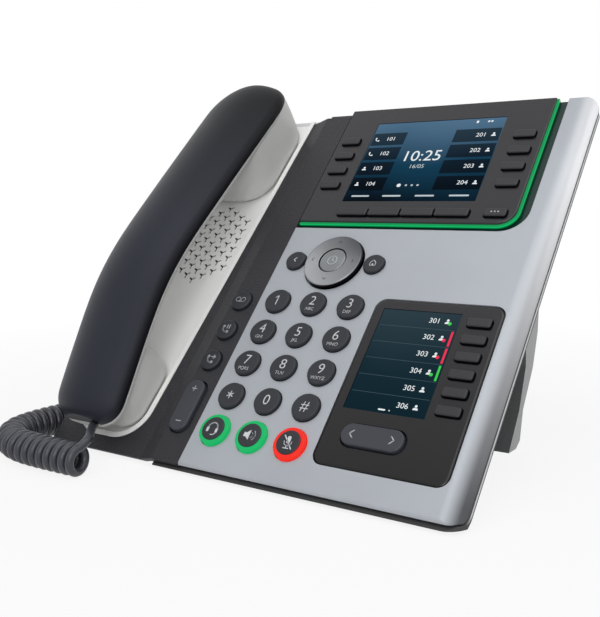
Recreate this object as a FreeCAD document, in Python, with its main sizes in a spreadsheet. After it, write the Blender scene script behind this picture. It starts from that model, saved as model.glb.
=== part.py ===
import FreeCAD, Part
import math
import os
import Sketcher
from FreeCAD import Placement, Rotation, Vector

# A desk telephone with a tilted front slab, two displays, a handset in a cradle and a stand.
# World frame: +X to the right, +Y to the back, +Z up, the desk at Z = 0, millimetres and degrees.
# Panel frame: x as in the world, s up the slab from its lower edge, w out of the silver face.
SIZES = {
    # slab and rear housing
    "slab_width": 215.5,
    "slab_length": 217.5,
    "panel_tilt": 47.87,
    "panel_front": -72.9,
    "foot_height": 1.2,
    "lip_depth": 3.0,
    "back_depth": 28.0,
    "rim_depth": 9.5,
    "right_rim_depth": 7.0,
    "side_taper": 18.0,
    "top_taper": 20.0,
    "housing_wall": 2.5,
    "seam_gap": 0.2,
    "fit_gap": 0.15,
    "foot_width": 40.0,
    "foot_run": 9.0,
    "foot_inset": 14.0,
    "foot_spacing": 140.0,
    # silver front cover
    "cover_left": -23.25,
    "cover_bottom": 1.7,
    "cover_wall": 2.2,
    "cover_side_depth": 4.0,
    "cover_edge_run": 9.0,
    "cover_edge_wall": 6.0,
    "cover_lip_round": 1.6,
    "cover_corner": 7.0,
    # main display block
    "bezel_right": 87.75,
    "bezel_bottom": 139.3,
    "bezel_depth": 3.0,
    "bezel_corner": 8.0,
    "channel_right": 93.75,
    "channel_bottom": 134.9,
    "channel_corner": 12.0,
    "channel_floor": 1.2,
    "light_bar_width": 1.1,
    "light_bar_top": 0.8,
    "light_bar_height": 1.8,
    "screen_left": -3.6,
    "screen_bottom": 152.5,
    "screen_width": 70.0,
    "screen_length": 54.0,
    "screen_depth": 4.4,
    "screen_recess": 0.3,
    "bezel_edge": 0.7,
    # side display block
    "side_left": 39.25,
    "side_bottom": 14.4,
    "side_width": 59.0,
    "side_length": 81.1,
    "side_corner": 5.0,
    "side_depth": 2.2,
    "side_flange": 1.4,
    "side_edge": 1.3,
    "side_screen_left": 43.9,
    "side_screen_bottom": 40.7,
    "side_screen_width": 36.2,
    "side_screen_length": 49.7,
    # keys
    "key_gap": 0.35,
    "key_rise": 1.8,
    "key_travel": 1.0,
    "key_edge": 0.7,
    "flange_drop": 0.3,
    "flange_depth": 0.9,
    "flange_lip": 0.9,
    "digit_x": 7.75,
    "digit_s": 72.0,
    "digit_pitch_x": 19.7,
    "digit_pitch_s": 17.28,
    "digit_radius": 6.35,
    "ring_key_radius": 7.3,
    "nav_x": 8.6,
    "nav_s": 113.5,
    "nav_radius": 14.6,
    "nav_rise": 2.6,
    "nav_bore": 7.1,
    "select_radius": 6.7,
    "nav_side_offset": 21.35,
    "nav_side_radius": 5.1,
    "function_x": -32.5,
    "function_s": 70.8,
    "function_pitch": 17.08,
    "function_radius": 5.3,
    "volume_s": 29.2,
    "volume_width": 10.2,
    "volume_length": 26.0,
    "volume_rise": 2.0,
    "line_left_x": -14.8,
    "line_right_x": 78.7,
    "line_s": 178.1,
    "line_pitch": 10.22,
    "line_width": 10.6,
    "line_length": 4.6,
    "line_rise": 1.6,
    "soft_s": 144.9,
    "soft_x": 31.7,
    "soft_pitch": 17.4,
    "soft_gap": 0.7,
    "soft_length": 4.6,
    "more_x": 78.5,
    "side_key_x": 89.0,
    "side_key_s": 65.7,
    "side_key_pitch": 8.24,
    "side_key_width": 10.6,
    "side_key_length": 4.4,
    "page_x": 62.3,
    "page_s": 29.0,
    "page_width": 27.6,
    "page_length": 9.6,
    # circuit board
    "board_level": 6.4,
    "board_depth": 1.6,
    "board_gap": 4.45,
    "board_right": 99.0,
    "board_bottom": 10.0,
    "board_top": 209.0,
    "post_radius": 3.5,
    "post_inset": 6.0,
    "jack_width": 15.0,
    "jack_length": 14.0,
    "jack_depth": 11.0,
    "jack_pitch": 22.0,
    "jack_s": 60.0,
    # side deck and cradle tray
    "deck_start": 1.7,
    "deck_length": 213.3,
    "deck_wall": 2.5,
    "deck_drop": 3.4,
    "ramp_start": -38.6,
    "ramp_end": -47.5,
    "deck_edge_round": 2.0,
    "tray_inset": 31.0,
    "tray_bottom": 9.0,
    "tray_top": 214.8,
    "tray_half_low": 21.7,
    "tray_half_high": 27.8,
    "tray_corner": 17.0,
    "tray_rim": 2.6,
    "tray_rise": 0.2,
    "tray_floor": 6.0,
    "tray_wall": 2.2,
    "tray_fillet": 2.2,
    "tray_flange": 0.5,
    "grille_shift": -1.15,
    "grille_s": 127.9,
    "grille_pitch": 6.1,
    "grille_rings": 4.0,
    "slot_length": 2.4,
    "slot_width": 0.9,
    "speaker_radius": 15.0,
    "speaker_depth": 11.0,
    # hook switch
    "hook_s": 176.0,
    "hook_width": 8.0,
    "hook_length": 5.0,
    "hook_gap": 0.3,
    "hook_travel": 3.0,
    # handset
    "handset_low": 8.0,
    "handset_high": 217.5,
    "handset_half_low": 20.6,
    "handset_half_high": 24.6,
    "handset_crown": 10.5,
    "handset_belly": 6.5,
    "handset_wall": 2.0,
    "handset_seam_gap": 0.1,
    "handset_end_low": 13.0,
    "handset_end_high": 26.0,
    "handset_bend_s": 79.5,
    "handset_bend_w": 31.4,
    "handset_bend_round": 21.0,
    "handset_slope_low": 0.295,
    "handset_slope_high": -0.095,
    "cup_gap": 0.3,
    "cup_side_gap": 0.7,
    "cup_fillet": 4.6,
    "cup_merge": 0.6,
    "ear_cup_bottom": 155.0,
    "ear_cup_top": 201.5,
    "ear_cup_corner": 17.0,
    "ear_cup_lean": 11.0,
    "mouth_cup_bottom": 14.0,
    "mouth_cup_top": 52.8,
    "mouth_cup_corner": 11.0,
    "mouth_cup_lean": 0.0,
    # stand
    "stand_width": 164.0,
    "stand_wall": 3.5,
    "stand_top": 168.0,
    "stand_arm": 104.0,
    "hook_tab_x": 52.0,
    "hook_tab_width": 14.0,
    "hook_tab_s": 128.0,
    "hook_tab_reach": 4.0,
    "hook_tab_thick": 3.0,
    "stand_travel": 9.0,
    # handset cord
    "cord_diameter": 3.9,
    "coil_radius": 5.5,
    "coil_pitch": 4.5,
    "cord_jack_x": -78.0,
    "cord_jack_s": 42.0,
    "cord_stub": 4.0,
}

doc = FreeCAD.newDocument("desk_phone")
sheet = doc.addObject("Spreadsheet::Sheet", "dim")
for row, (alias, value) in enumerate(SIZES.items(), start=1):
    sheet.set(f"A{row}", alias)
    sheet.set(f"B{row}", str(value))
    sheet.setAlias(f"B{row}", alias)
doc.recompute()

PANEL_LIFT = "(dim.foot_height + dim.lip_depth * cos(dim.panel_tilt))"
# The middle line of the cradle, measured from the slab's left edge, and of the grille in it.
TRAY_X = "(dim.tray_inset - dim.slab_width / 2)"
GRILLE_X = "(dim.tray_inset + dim.grille_shift - dim.slab_width / 2)"
# The board's left edge, a gap away from the widest part of the cradle.
BOARD_LEFT = f"({TRAY_X} + dim.tray_half_high + dim.tray_flange + dim.board_gap)"
THROUGH = 60.0
pieces = {}


def size(alias):
    """One driving size as a number."""
    return float(getattr(sheet, alias))


def value_of(expression):
    """An expression of driving sizes as a number."""
    return float(sheet.evalExpression(expression))


def bind(obj, **sizes):
    """Binds properties to expressions; a double underscore stands for the dot of a sub-property."""
    for prop, expression in sizes.items():
        obj.setExpression(prop.replace("__", "."), expression)


def shift(obj, x, y, z):
    """Binds an object's place in the frame that it is built in."""
    bind(obj, Placement__Base__x=x, Placement__Base__y=y, Placement__Base__z=z)


def on_panel(obj, x="0", s="0", w="0"):
    """Turns an object to the tilted panel and puts its own origin at a place there."""
    obj.Placement = Placement(Vector(), Rotation(Vector(1, 0, 0), size("panel_tilt")))
    bind(obj, Placement__Rotation__Angle="dim.panel_tilt")
    shift(
        obj,
        x,
        f"dim.panel_front + ({s}) * cos(dim.panel_tilt) - ({w}) * sin(dim.panel_tilt)",
        f"{PANEL_LIFT} + ({s}) * sin(dim.panel_tilt) + ({w}) * cos(dim.panel_tilt)",
    )
    return obj


def panel_point(x, s, w):
    """A panel place in the world frame."""
    tilt = math.radians(size("panel_tilt"))
    lift = size("foot_height") + size("lip_depth") * math.cos(tilt)
    y = size("panel_front") + s * math.cos(tilt) - w * math.sin(tilt)
    return Vector(x, y, lift + s * math.sin(tilt) + w * math.cos(tilt))


def finished(name, obj):
    """Names a finished sub-part."""
    obj.Label = name
    pieces[name] = obj
    return obj


def new_body(name):
    return doc.addObject("PartDesign::Body", name)


def add_box(body, name, x, y, z, length, width, height, kind="Additive"):
    """A box in a body, from its lowest corner."""
    box = body.newObject(f"PartDesign::{kind}Box", name)
    bind(box, Length=length, Width=width, Height=height)
    shift(box, x, y, z)
    return box


def add_cylinder(body, name, x, y, z, radius, height, kind="Additive"):
    """A cylinder in a body, along its z axis."""
    cylinder = body.newObject(f"PartDesign::{kind}Cylinder", name)
    bind(cylinder, Radius=radius, Height=height)
    shift(cylinder, x, y, z)
    return cylinder


def round_edges(body, name, radius, chosen):
    """Rounds the edges of a body's last feature that a test picks."""
    doc.recompute()
    base = body.Tip
    names = [f"Edge{i}" for i, edge in enumerate(base.Shape.Edges, start=1) if chosen(edge)]
    fillet = body.newObject("PartDesign::Fillet", name)
    fillet.Base = (base, names)
    bind(fillet, Radius=radius)
    return fillet


def upright(edge):
    """True for a straight edge along z."""
    if edge.Curve.TypeId != "Part::GeomLine":
        return False
    return abs(abs(edge.Curve.Direction.z) - 1.0) < 1e-6


def level_at(height):
    """A test for edges that lie level at a height."""
    def chosen(edge):
        box = edge.BoundBox
        return abs(box.ZMin - height) < 1e-4 and abs(box.ZMax - height) < 1e-4
    return chosen


def outline_sketch(body, name, role, points):
    """A closed sketch of straight lines whose corners are bound to pairs of expressions."""
    plane = next(f for f in body.Origin.OriginFeatures if f.Role == role)
    sketch = body.newObject("Sketcher::SketchObject", name)
    sketch.AttachmentSupport = (plane, "")
    sketch.MapMode = "FlatFace"
    places = []
    for across, up in points:
        places.append(Vector(sheet.evalExpression(across), sheet.evalExpression(up), 0))
    count = len(places)
    for i in range(count):
        sketch.addGeometry(Part.LineSegment(places[i], places[(i + 1) % count]), False)
    for i in range(count):
        sketch.addConstraint(Sketcher.Constraint("Coincident", i, 2, (i + 1) % count, 1))
    for i, (across, up) in enumerate(points):
        for kind, text, place in (("DistanceX", across, places[i].x), ("DistanceY", up, places[i].y)):
            index = sketch.addConstraint(Sketcher.Constraint(kind, -1, 1, i, 1, place))
            sketch.setExpression(f"Constraints[{index}]", text)
    return sketch


def add_pad(body, name, role, points, length, centred=False, reverse=False):
    """Pads an outline from an origin plane."""
    sketch = outline_sketch(body, name + "_outline", role, points)
    pad = body.newObject("PartDesign::Pad", name)
    pad.Profile = sketch
    pad.Midplane = centred
    pad.Reversed = reverse
    bind(pad, Length=length)
    return pad


def rounded_block(name, left, bottom, low, width, length, height, corner):
    """A block with rounded upright edges in the panel frame."""
    body = new_body(name)
    add_box(body, name + "_block", left, bottom, low, width, length, height)
    round_edges(body, name + "_corners", corner, upright)
    return body


def round_hole(name, x, s, radius):
    """A round cutter through the panel."""
    cutter = doc.addObject("Part::Cylinder", name)
    bind(cutter, Radius=radius)
    cutter.Height = 2 * THROUGH
    shift(cutter, x, s, str(-THROUGH))
    return cutter


def plain_cutter(name, left, bottom, low, width, length, height):
    """A plain box cutter in the frame of the piece that it cuts."""
    cutter = doc.addObject("Part::Box", name)
    bind(cutter, Length=width, Width=length, Height=height)
    shift(cutter, left, bottom, low)
    return cutter


def block_hole(name, x, s, width, length, corner, gap="dim.key_gap"):
    """A rounded cutter through the panel, a gap larger all round than what fits in it."""
    return rounded_block(
        name,
        f"({x}) - ({width}) / 2 - {gap}",
        f"({s}) - ({length}) / 2 - {gap}",
        str(-THROUGH),
        f"({width}) + 2 * {gap}",
        f"({length}) + 2 * {gap}",
        str(2 * THROUGH),
        f"({corner}) + {gap}",
    )


def group(name, members):
    compound = doc.addObject("Part::Compound", name)
    compound.Links = members
    return compound


def cut(name, base, tools):
    """Cuts a group of tools out of a base."""
    result = doc.addObject("Part::Cut", name)
    result.Base = base
    result.Tool = group(name + "_tools", tools)
    return result


def join(name, members):
    result = doc.addObject("Part::MultiFuse", name)
    result.Shapes = members
    return result


def common(name, first, second):
    result = doc.addObject("Part::Common", name)
    result.Base = first
    result.Tool = second
    return result


# Keys: each cap rises through its hole and has a flange below the panel that keeps it in.
KEY_FOOT = "(dim.board_level - dim.key_travel - dim.fit_gap)"


def round_key(name, x, s, radius, wall, rise="dim.key_rise", edge="dim.key_edge"):
    body = new_body(name + "_body")
    add_cylinder(body, name + "_cap", "0", "0", f"-{KEY_FOOT}", radius, f"{KEY_FOOT} + {rise}")
    flange_low = f"-({wall} + dim.flange_drop + dim.flange_depth)"
    add_cylinder(body, name + "_flange", "0", "0", flange_low, f"{radius} + dim.flange_lip",
                 "dim.flange_depth")
    doc.recompute()
    top = body.Tip.Shape.BoundBox.ZMax
    round_edges(body, name + "_edge", edge, level_at(top))
    on_panel(body, x, s)
    return finished(name, body)


def bar_key(name, x, s, width, length, wall, rise, corner, lip="dim.flange_lip", drop="dim.flange_drop"):
    body = new_body(name + "_body")
    add_box(
        body, name + "_cap", f"-({width}) / 2", f"-({length}) / 2", f"-{KEY_FOOT}",
        width, length, f"{KEY_FOOT} + {rise}",
    )
    round_edges(body, name + "_corners", corner, upright)
    doc.recompute()
    top = body.Tip.Shape.BoundBox.ZMax
    round_edges(body, name + "_edge", "dim.key_edge", level_at(top))
    add_box(
        body, name + "_flange", f"-({width}) / 2 - {lip}", f"-({length}) / 2 - dim.flange_lip",
        f"-({wall} + {drop} + dim.flange_depth)",
        f"({width}) + 2 * {lip}", f"({length}) + 2 * dim.flange_lip", "dim.flange_depth",
    )
    on_panel(body, x, s)
    return finished(name, body)


# Rear housing: the side outline and the end outline meet in one tapered pan.
def housing_outlines(inset, lip):
    """Side outline (s, w) and end outline (x, w) of the pan, drawn in by an inset."""
    low_s = "(dim.back_depth - dim.lip_depth) * cos(dim.panel_tilt) / sin(dim.panel_tilt)"
    slant = f"{inset} / sin(dim.panel_tilt)"
    side = [
        (f"0 + {inset}", f"-{lip}"),
        (f"0 + {inset}", f"-dim.lip_depth + {inset} * (1 - cos(dim.panel_tilt)) / sin(dim.panel_tilt)"),
        (f"{low_s} + {slant} - {inset} * cos(dim.panel_tilt) / sin(dim.panel_tilt)",
         f"-dim.back_depth + {inset}"),
        (f"dim.slab_length - dim.top_taper - {inset} / 2", f"-dim.back_depth + {inset}"),
        (f"dim.slab_length - {inset}", f"-dim.rim_depth + {inset} / 2"),
        (f"dim.slab_length - {inset}", f"-{lip}"),
    ]
    half = f"dim.slab_width / 2 - {inset}"
    end = [
        (f"-({half})", f"-{lip}"),
        (f"-({half})", f"-dim.rim_depth + {inset} / 2"),
        (f"-({half}) + dim.side_taper - {inset} / 2", f"-dim.back_depth + {inset}"),
        (f"{half} - dim.side_taper + {inset} / 2", f"-dim.back_depth + {inset}"),
        (half, f"-dim.right_rim_depth + {inset} / 2"),
        (half, f"-{lip}"),
    ]
    return side, end


def pan(name, inset, lip):
    side, end = housing_outlines(inset, lip)
    side_body = new_body(name + "_side")
    add_pad(side_body, name + "_side_pad", "YZ_Plane", side, "dim.slab_width", centred=True)
    end_body = new_body(name + "_end")
    add_pad(end_body, name + "_end_pad", "XZ_Plane", end, "dim.slab_length", reverse=True)
    return common(name, side_body, end_body)


def slab_plan(name, inset):
    """A tall block of the slab's outline with its two right corners rounded."""
    return rounded_block(
        name, "-dim.slab_width", inset, str(-THROUGH), f"1.5 * dim.slab_width - {inset}",
        f"dim.slab_length - 2 * {inset}", str(2 * THROUGH),
        f"dim.cover_corner + dim.cover_bottom - {inset}",
    )


def floor_wedge(name, rise):
    """Everything lower than a rise over the slab's underside, near the front edge."""
    reach = 60.0
    line = f"-dim.lip_depth + ({rise}) / cos(dim.panel_tilt)"
    slope = "sin(dim.panel_tilt) / cos(dim.panel_tilt)"
    body = new_body(name)
    outline = [
        (str(-reach), f"{line} + {reach} * {slope}"),
        (str(-reach), f"{line} - {reach} * {slope}"),
        (str(reach), f"{line} - {reach} * {slope}"),
    ]
    add_pad(body, name + "_pad", "YZ_Plane", outline, "2 * dim.slab_width", centred=True)
    return body


def rear_housing():
    top = "(dim.cover_wall + dim.seam_gap)"
    outer = common("housing_rounded", pan("housing_outer", "0", top), slab_plan("housing_plan", "0"))
    inner = common("housing_room", pan("housing_inner", "dim.housing_wall", top),
                   slab_plan("room_plan", "dim.housing_wall"))
    rim_right = cut("rim_right", plain_cutter(
        "rim_right_box", "dim.cover_left", "dim.cover_bottom - dim.fit_gap",
        "-dim.cover_side_depth - dim.seam_gap",
        "dim.slab_width", "dim.slab_length", "dim.slab_width",
    ), [floor_wedge("rim_wedge", "dim.housing_wall")])
    rim_left = plain_cutter(
        "rim_left", "-dim.slab_width", "-dim.slab_length",
        "-dim.deck_drop - dim.deck_wall - dim.seam_gap",
        "dim.slab_width + dim.ramp_start", "2 * dim.slab_length", "dim.slab_width",
    )
    rim_strip = plain_cutter(
        "rim_strip", "dim.ramp_start", "dim.deck_start - dim.fit_gap", "-dim.deck_wall - dim.seam_gap",
        "dim.cover_left - dim.ramp_start", "dim.slab_length", "dim.slab_width",
    )
    shell = cut("housing_shell", outer, [inner, rim_right, rim_left, rim_strip])
    posts = []
    post_low = "-(dim.back_depth - dim.housing_wall / 2)"
    board_low = "(dim.board_level + dim.board_depth)"
    for i, x in enumerate((f"{BOARD_LEFT} + dim.post_inset",
                           "dim.board_right - dim.post_inset - dim.side_taper")):
        for j, s in enumerate(("dim.board_bottom + dim.post_inset + dim.top_taper",
                               "dim.board_top - dim.post_inset - dim.top_taper")):
            post = doc.addObject("Part::Cylinder", f"post_{i}{j}")
            bind(post, Radius="dim.post_radius",
                 Height=f"dim.back_depth - dim.housing_wall / 2 - {board_low}")
            shift(post, x, s, post_low)
            posts.append(post)
    speaker_ring = new_body("speaker_ring")
    speaker_low = "(dim.tray_floor + dim.tray_wall + dim.fit_gap + dim.speaker_depth)"
    ring_height = f"dim.back_depth - dim.housing_wall / 2 - {speaker_low}"
    add_cylinder(speaker_ring, "ring_outside", GRILLE_X, "dim.grille_s", post_low,
                 "dim.speaker_radius - 2 * dim.housing_wall", ring_height)
    add_cylinder(speaker_ring, "ring_inside", GRILLE_X, "dim.grille_s", post_low,
                 "dim.speaker_radius - 3 * dim.housing_wall", ring_height, "Subtractive")
    body = join("housing_joined", [shell] + posts + [speaker_ring])
    slots = []
    for side in (-1, 1):
        slots.append(plain_cutter(
            f"tab_slot_{side + 1}",
            f"{side} * dim.hook_tab_x - dim.hook_tab_width / 2 - dim.key_gap",
            "dim.hook_tab_s - dim.hook_tab_thick - dim.stand_travel - dim.key_gap",
            "-dim.back_depth - 1",
            "dim.hook_tab_width + 2 * dim.key_gap",
            "dim.hook_tab_thick + dim.stand_travel + 2 * dim.key_gap",
            "dim.housing_wall + 2",
        ))
    for i in range(2):
        slots.append(plain_cutter(
            f"jack_window_{i}",
            f"({i} - 0.5) * dim.jack_pitch - dim.jack_width / 2 - dim.fit_gap",
            "dim.jack_s - dim.jack_length / 2 - dim.fit_gap",
            "-dim.back_depth - 1", "dim.jack_width + 2 * dim.fit_gap",
            "dim.jack_length + 2 * dim.fit_gap", "dim.housing_wall + 2",
        ))
    return finished("rear_housing", on_panel(cut("rear_housing_cut", body, slots)))


def rubber_feet():
    members = []
    for side in (-1, 1):
        foot = doc.addObject("Part::Box", f"foot_{side + 1}")
        bind(foot, Length="dim.foot_width", Width="dim.foot_run", Height="dim.foot_height")
        shift(
            foot, f"{side} * dim.foot_spacing / 2 - dim.foot_width / 2",
            "dim.panel_front + dim.foot_inset", "0",
        )
        members.append(foot)
    finished("rubber_feet", group("rubber_feet_group", members))


# Silver cover, with its right edge rounded over and an opening for each block and key.
DIGIT_NAMES = (("1", "2", "3"), ("4", "5", "6"), ("7", "8", "9"), ("star", "0", "hash"))
RING_NAMES = ("headset_key", "speaker_key", "mute_key")


def digit_place(row, column):
    return (
        f"dim.digit_x + ({column - 1}) * dim.digit_pitch_x",
        f"dim.digit_s + ({1 - row}) * dim.digit_pitch_s",
    )


def falling_edge():
    """What lies outside the cover's right edge, which falls away from the face in a wide arc."""
    run = "dim.cover_edge_run"
    drop = "dim.cover_side_depth"
    radius = f"(({run} * {run} + {drop} * {drop}) / (2 * {drop}))"
    start = f"dim.slab_width / 2 - {run}"
    corner = plain_cutter("edge_corner", start, "-1", f"-{drop}", f"{run} + 1", "dim.slab_length + 2",
                          f"{drop} + 1")
    roll = doc.addObject("Part::Cylinder", "edge_roll")
    roll.Placement = Placement(Vector(), Rotation(Vector(1, 0, 0), -90))
    bind(roll, Radius=radius, Height="dim.slab_length + 4")
    shift(roll, start, "-2", f"-{radius}")
    return cut("falling_edge", corner, [roll])


def front_cover():
    right = "dim.slab_width / 2"
    width = f"{right} - dim.cover_left"
    length = "dim.slab_length - dim.cover_bottom"
    body = new_body("cover_body")
    add_box(body, "cover_block", "dim.cover_left", "dim.cover_bottom", "-dim.cover_side_depth",
            width, length,
            "dim.cover_side_depth")
    half = size("slab_width") / 2
    round_edges(body, "cover_corner_round", "dim.cover_corner",
                lambda e: upright(e) and e.CenterOfMass.x > half - 1)
    low_end = size("cover_bottom") + 1
    round_edges(body, "cover_lip_round", "dim.cover_lip_round",
                lambda e: level_at(0)(e) and e.BoundBox.YMax < low_end)
    inside = plain_cutter(
        "cover_inside", "dim.cover_left - 1", "dim.cover_bottom + dim.cover_wall",
        "-dim.cover_side_depth - 1",
        f"{width} + 1 - dim.cover_edge_wall", f"{length} - 2 * dim.cover_wall",
        "dim.cover_side_depth + 1 - dim.cover_wall",
    )
    opening = new_body("block_opening")
    add_box(opening, "block_opening_box", "dim.cover_left - 1", "dim.channel_bottom", str(-THROUGH),
            "dim.channel_right - dim.cover_left + 1", "dim.slab_length", str(2 * THROUGH))
    edge_x = size("channel_right")
    edge_s = size("channel_bottom")
    round_edges(opening, "block_opening_corner", "dim.channel_corner",
                lambda e: upright(e) and abs(e.CenterOfMass.x - edge_x) < 1
                and abs(e.CenterOfMass.y - edge_s) < 1)
    tools = [inside, opening, falling_edge(), floor_wedge("cover_wedge", "dim.housing_wall + dim.seam_gap")]
    tools.append(rounded_block(
        "side_opening", "dim.side_left - dim.fit_gap", "dim.side_bottom - dim.fit_gap", str(-THROUGH),
        "dim.side_width + 2 * dim.fit_gap", "dim.side_length + 2 * dim.fit_gap", str(2 * THROUGH),
        "dim.side_corner + dim.fit_gap",
    ))
    for row in range(5):
        for column in range(3):
            x, s = digit_place(row, column)
            radius = "dim.digit_radius" if row < 4 else "dim.ring_key_radius"
            tools.append(round_hole(f"digit_hole_{row}{column}", x, s, f"{radius} + dim.key_gap"))
    tools.append(round_hole("nav_hole", "dim.nav_x", "dim.nav_s", "dim.nav_radius + 2 * dim.key_gap"))
    for side in (-1, 1):
        tools.append(round_hole(
            f"nav_side_hole_{side + 1}", f"dim.nav_x + ({side}) * dim.nav_side_offset", "dim.nav_s",
            "dim.nav_side_radius + dim.key_gap",
        ))
    return finished("front_cover", on_panel(cut("front_cover_cut", body, tools)))


def cover_keys():
    for row in range(5):
        for column in range(3):
            x, s = digit_place(row, column)
            if row < 4:
                round_key(f"key_{DIGIT_NAMES[row][column]}", x, s, "dim.digit_radius", "dim.cover_wall")
            else:
                round_key(RING_NAMES[column], x, s, "dim.ring_key_radius", "dim.cover_wall")
    for side, name in ((-1, "back_key"), (1, "home_key")):
        round_key(name, f"dim.nav_x + ({side}) * dim.nav_side_offset", "dim.nav_s",
                  "dim.nav_side_radius",
                  "dim.cover_wall")
    round_key("select_key", "dim.nav_x", "dim.nav_s", "dim.select_radius", "dim.flange_drop",
              "dim.nav_rise")
    nav_ring()


def nav_ring():
    body = new_body("nav_ring_body")
    low = "-(dim.cover_wall + 3 * dim.flange_drop + dim.flange_depth)"
    add_cylinder(body, "nav_disc", "0", "0", low, "dim.nav_radius", f"dim.nav_rise - {low}")
    doc.recompute()
    round_edges(body, "nav_edge", "dim.key_edge", level_at(size("nav_rise")))
    add_cylinder(body, "nav_flange", "0", "0", low, "dim.nav_radius + 1.5 * dim.flange_lip",
                 "dim.flange_depth")
    lip = "1.5 * dim.flange_lip"
    for side in (-1, 1):
        add_box(body, f"nav_flat_{side + 1}",
                f"({side}) * (dim.nav_radius + {lip} / 2 + 0.5) - {lip} / 2 - 0.5",
                "-dim.nav_radius", f"{low} - 1", f"{lip} + 1", "2 * dim.nav_radius",
                "dim.flange_depth + 2",
                "Subtractive")
    add_cylinder(body, "nav_bore", "0", "0", str(-THROUGH), "dim.nav_bore", str(2 * THROUGH),
                 "Subtractive")
    add_cylinder(body, "nav_room", "0", "0", f"{low} - 1",
                 "dim.select_radius + dim.flange_lip + dim.key_gap",
                 "dim.flange_depth + 3 * dim.flange_drop + 1 + dim.cover_wall", "Subtractive")
    return finished("nav_ring", on_panel(body, "dim.nav_x", "dim.nav_s"))


# Main display block: a raised plate with a channel round it, a light bar, the screen and its keys.
def block_plate(name, grow, low, height, corner):
    """The block's outline with its lower right corner rounded, grown to the right and down."""
    body = new_body(name)
    add_box(
        body, name + "_box", "dim.cover_left + dim.seam_gap", f"dim.bezel_bottom - {grow}", low,
        f"dim.bezel_right + {grow} - dim.cover_left - dim.seam_gap",
        f"dim.slab_length - dim.bezel_bottom + {grow}", height,
    )
    grown = sheet.evalExpression(grow)
    edge_x = size("bezel_right") + grown
    edge_s = size("bezel_bottom") - grown
    round_edges(body, name + "_corner", corner,
                lambda e: upright(e) and abs(e.CenterOfMass.x - edge_x) < 1
                and abs(e.CenterOfMass.y - edge_s) < 1)
    return body


def line_places():
    places = []
    for side, x in (("left", "dim.line_left_x"), ("right", "dim.line_right_x")):
        for i in range(4):
            places.append((f"line_key_{side}_{i + 1}", x, f"dim.line_s + ({1.5 - i}) * dim.line_pitch"))
    return places


SOFT_WIDTH = "(dim.soft_pitch - dim.soft_gap)"
BAR_CORNER = "dim.key_edge + 0.5"


def main_block():
    plate = block_plate("bezel_plate", "0", "-dim.bezel_depth", "dim.bezel_depth", "dim.bezel_corner")
    left = size("cover_left")
    top = size("slab_length")
    round_edges(plate, "bezel_plate_edge", "dim.bezel_edge",
                lambda e: level_at(0)(e) and e.BoundBox.XMax > left + 1 and e.BoundBox.YMin < top - 1)
    floor = new_body("channel_floor_body")
    add_box(
        floor, "channel_floor_box", "dim.cover_left + dim.seam_gap", "dim.channel_bottom + dim.fit_gap",
        "-dim.bezel_depth - dim.channel_floor",
        "dim.channel_right - dim.cover_left - dim.seam_gap - dim.fit_gap",
        "dim.slab_length - dim.channel_bottom - dim.fit_gap", "dim.channel_floor",
    )
    edge_x = size("channel_right")
    edge_s = size("channel_bottom")
    round_edges(floor, "channel_floor_corner", "dim.channel_corner",
                lambda e: upright(e) and abs(e.CenterOfMass.x - edge_x) < 1
                and abs(e.CenterOfMass.y - edge_s) < 1)
    tools = [plain_cutter(
        "screen_window", "dim.screen_left - dim.fit_gap", "dim.screen_bottom - dim.fit_gap",
        str(-THROUGH),
        "dim.screen_width + 2 * dim.fit_gap", "dim.screen_length + 2 * dim.fit_gap", str(2 * THROUGH),
    )]
    for name, x, s in line_places():
        tools.append(block_hole(name + "_hole", x, s, "dim.line_width", "dim.line_length", BAR_CORNER))
    tools.append(block_hole("more_hole", "dim.more_x", "dim.soft_s", "dim.line_width",
                            "dim.line_length", BAR_CORNER))
    tools.append(block_hole("soft_hole", "dim.soft_x", "dim.soft_s", "4 * dim.soft_pitch - dim.soft_gap",
                            "dim.soft_length", BAR_CORNER))
    bezel = cut("main_bezel_cut", join("bezel_joined", [plate, floor]), tools)
    finished("main_bezel", on_panel(bezel))
    bar_low = "-dim.light_bar_top - dim.light_bar_height"
    outer = block_plate("bar_outer", "dim.light_bar_width", bar_low, "dim.light_bar_height",
                        "dim.bezel_corner + dim.light_bar_width")
    inner = block_plate("bar_inner", "0", "-dim.bezel_depth", "dim.bezel_depth", "dim.bezel_corner")
    finished("light_bar", on_panel(cut("light_bar_cut", outer, [inner])))
    screen = new_body("screen_body")
    add_box(screen, "screen_box", "0", "0", "-dim.screen_recess - dim.screen_depth", "dim.screen_width",
            "dim.screen_length", "dim.screen_depth")
    finished("main_display", on_panel(screen, "dim.screen_left", "dim.screen_bottom"))


def main_keys():
    wall = "(dim.bezel_depth + dim.channel_floor)"
    for name, x, s in line_places():
        bar_key(name, x, s, "dim.line_width", "dim.line_length", wall, "dim.line_rise", BAR_CORNER,
                drop="dim.fit_gap")
    for i in range(4):
        x = f"dim.soft_x + ({i - 1.5}) * dim.soft_pitch"
        bar_key(f"soft_key_{i + 1}", x, "dim.soft_s", SOFT_WIDTH, "dim.soft_length", wall,
                "dim.line_rise",
                "dim.key_edge", lip="0", drop="dim.fit_gap")
    bar_key("more_key", "dim.more_x", "dim.soft_s", "dim.line_width", "dim.line_length", wall,
            "dim.line_rise",
            BAR_CORNER, drop="dim.fit_gap")


# Side display block in its own opening of the silver cover.
def side_places():
    return [(f"side_key_{i + 1}",
             f"dim.side_key_s + ({2.5 - i}) * dim.side_key_pitch") for i in range(6)]


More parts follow.
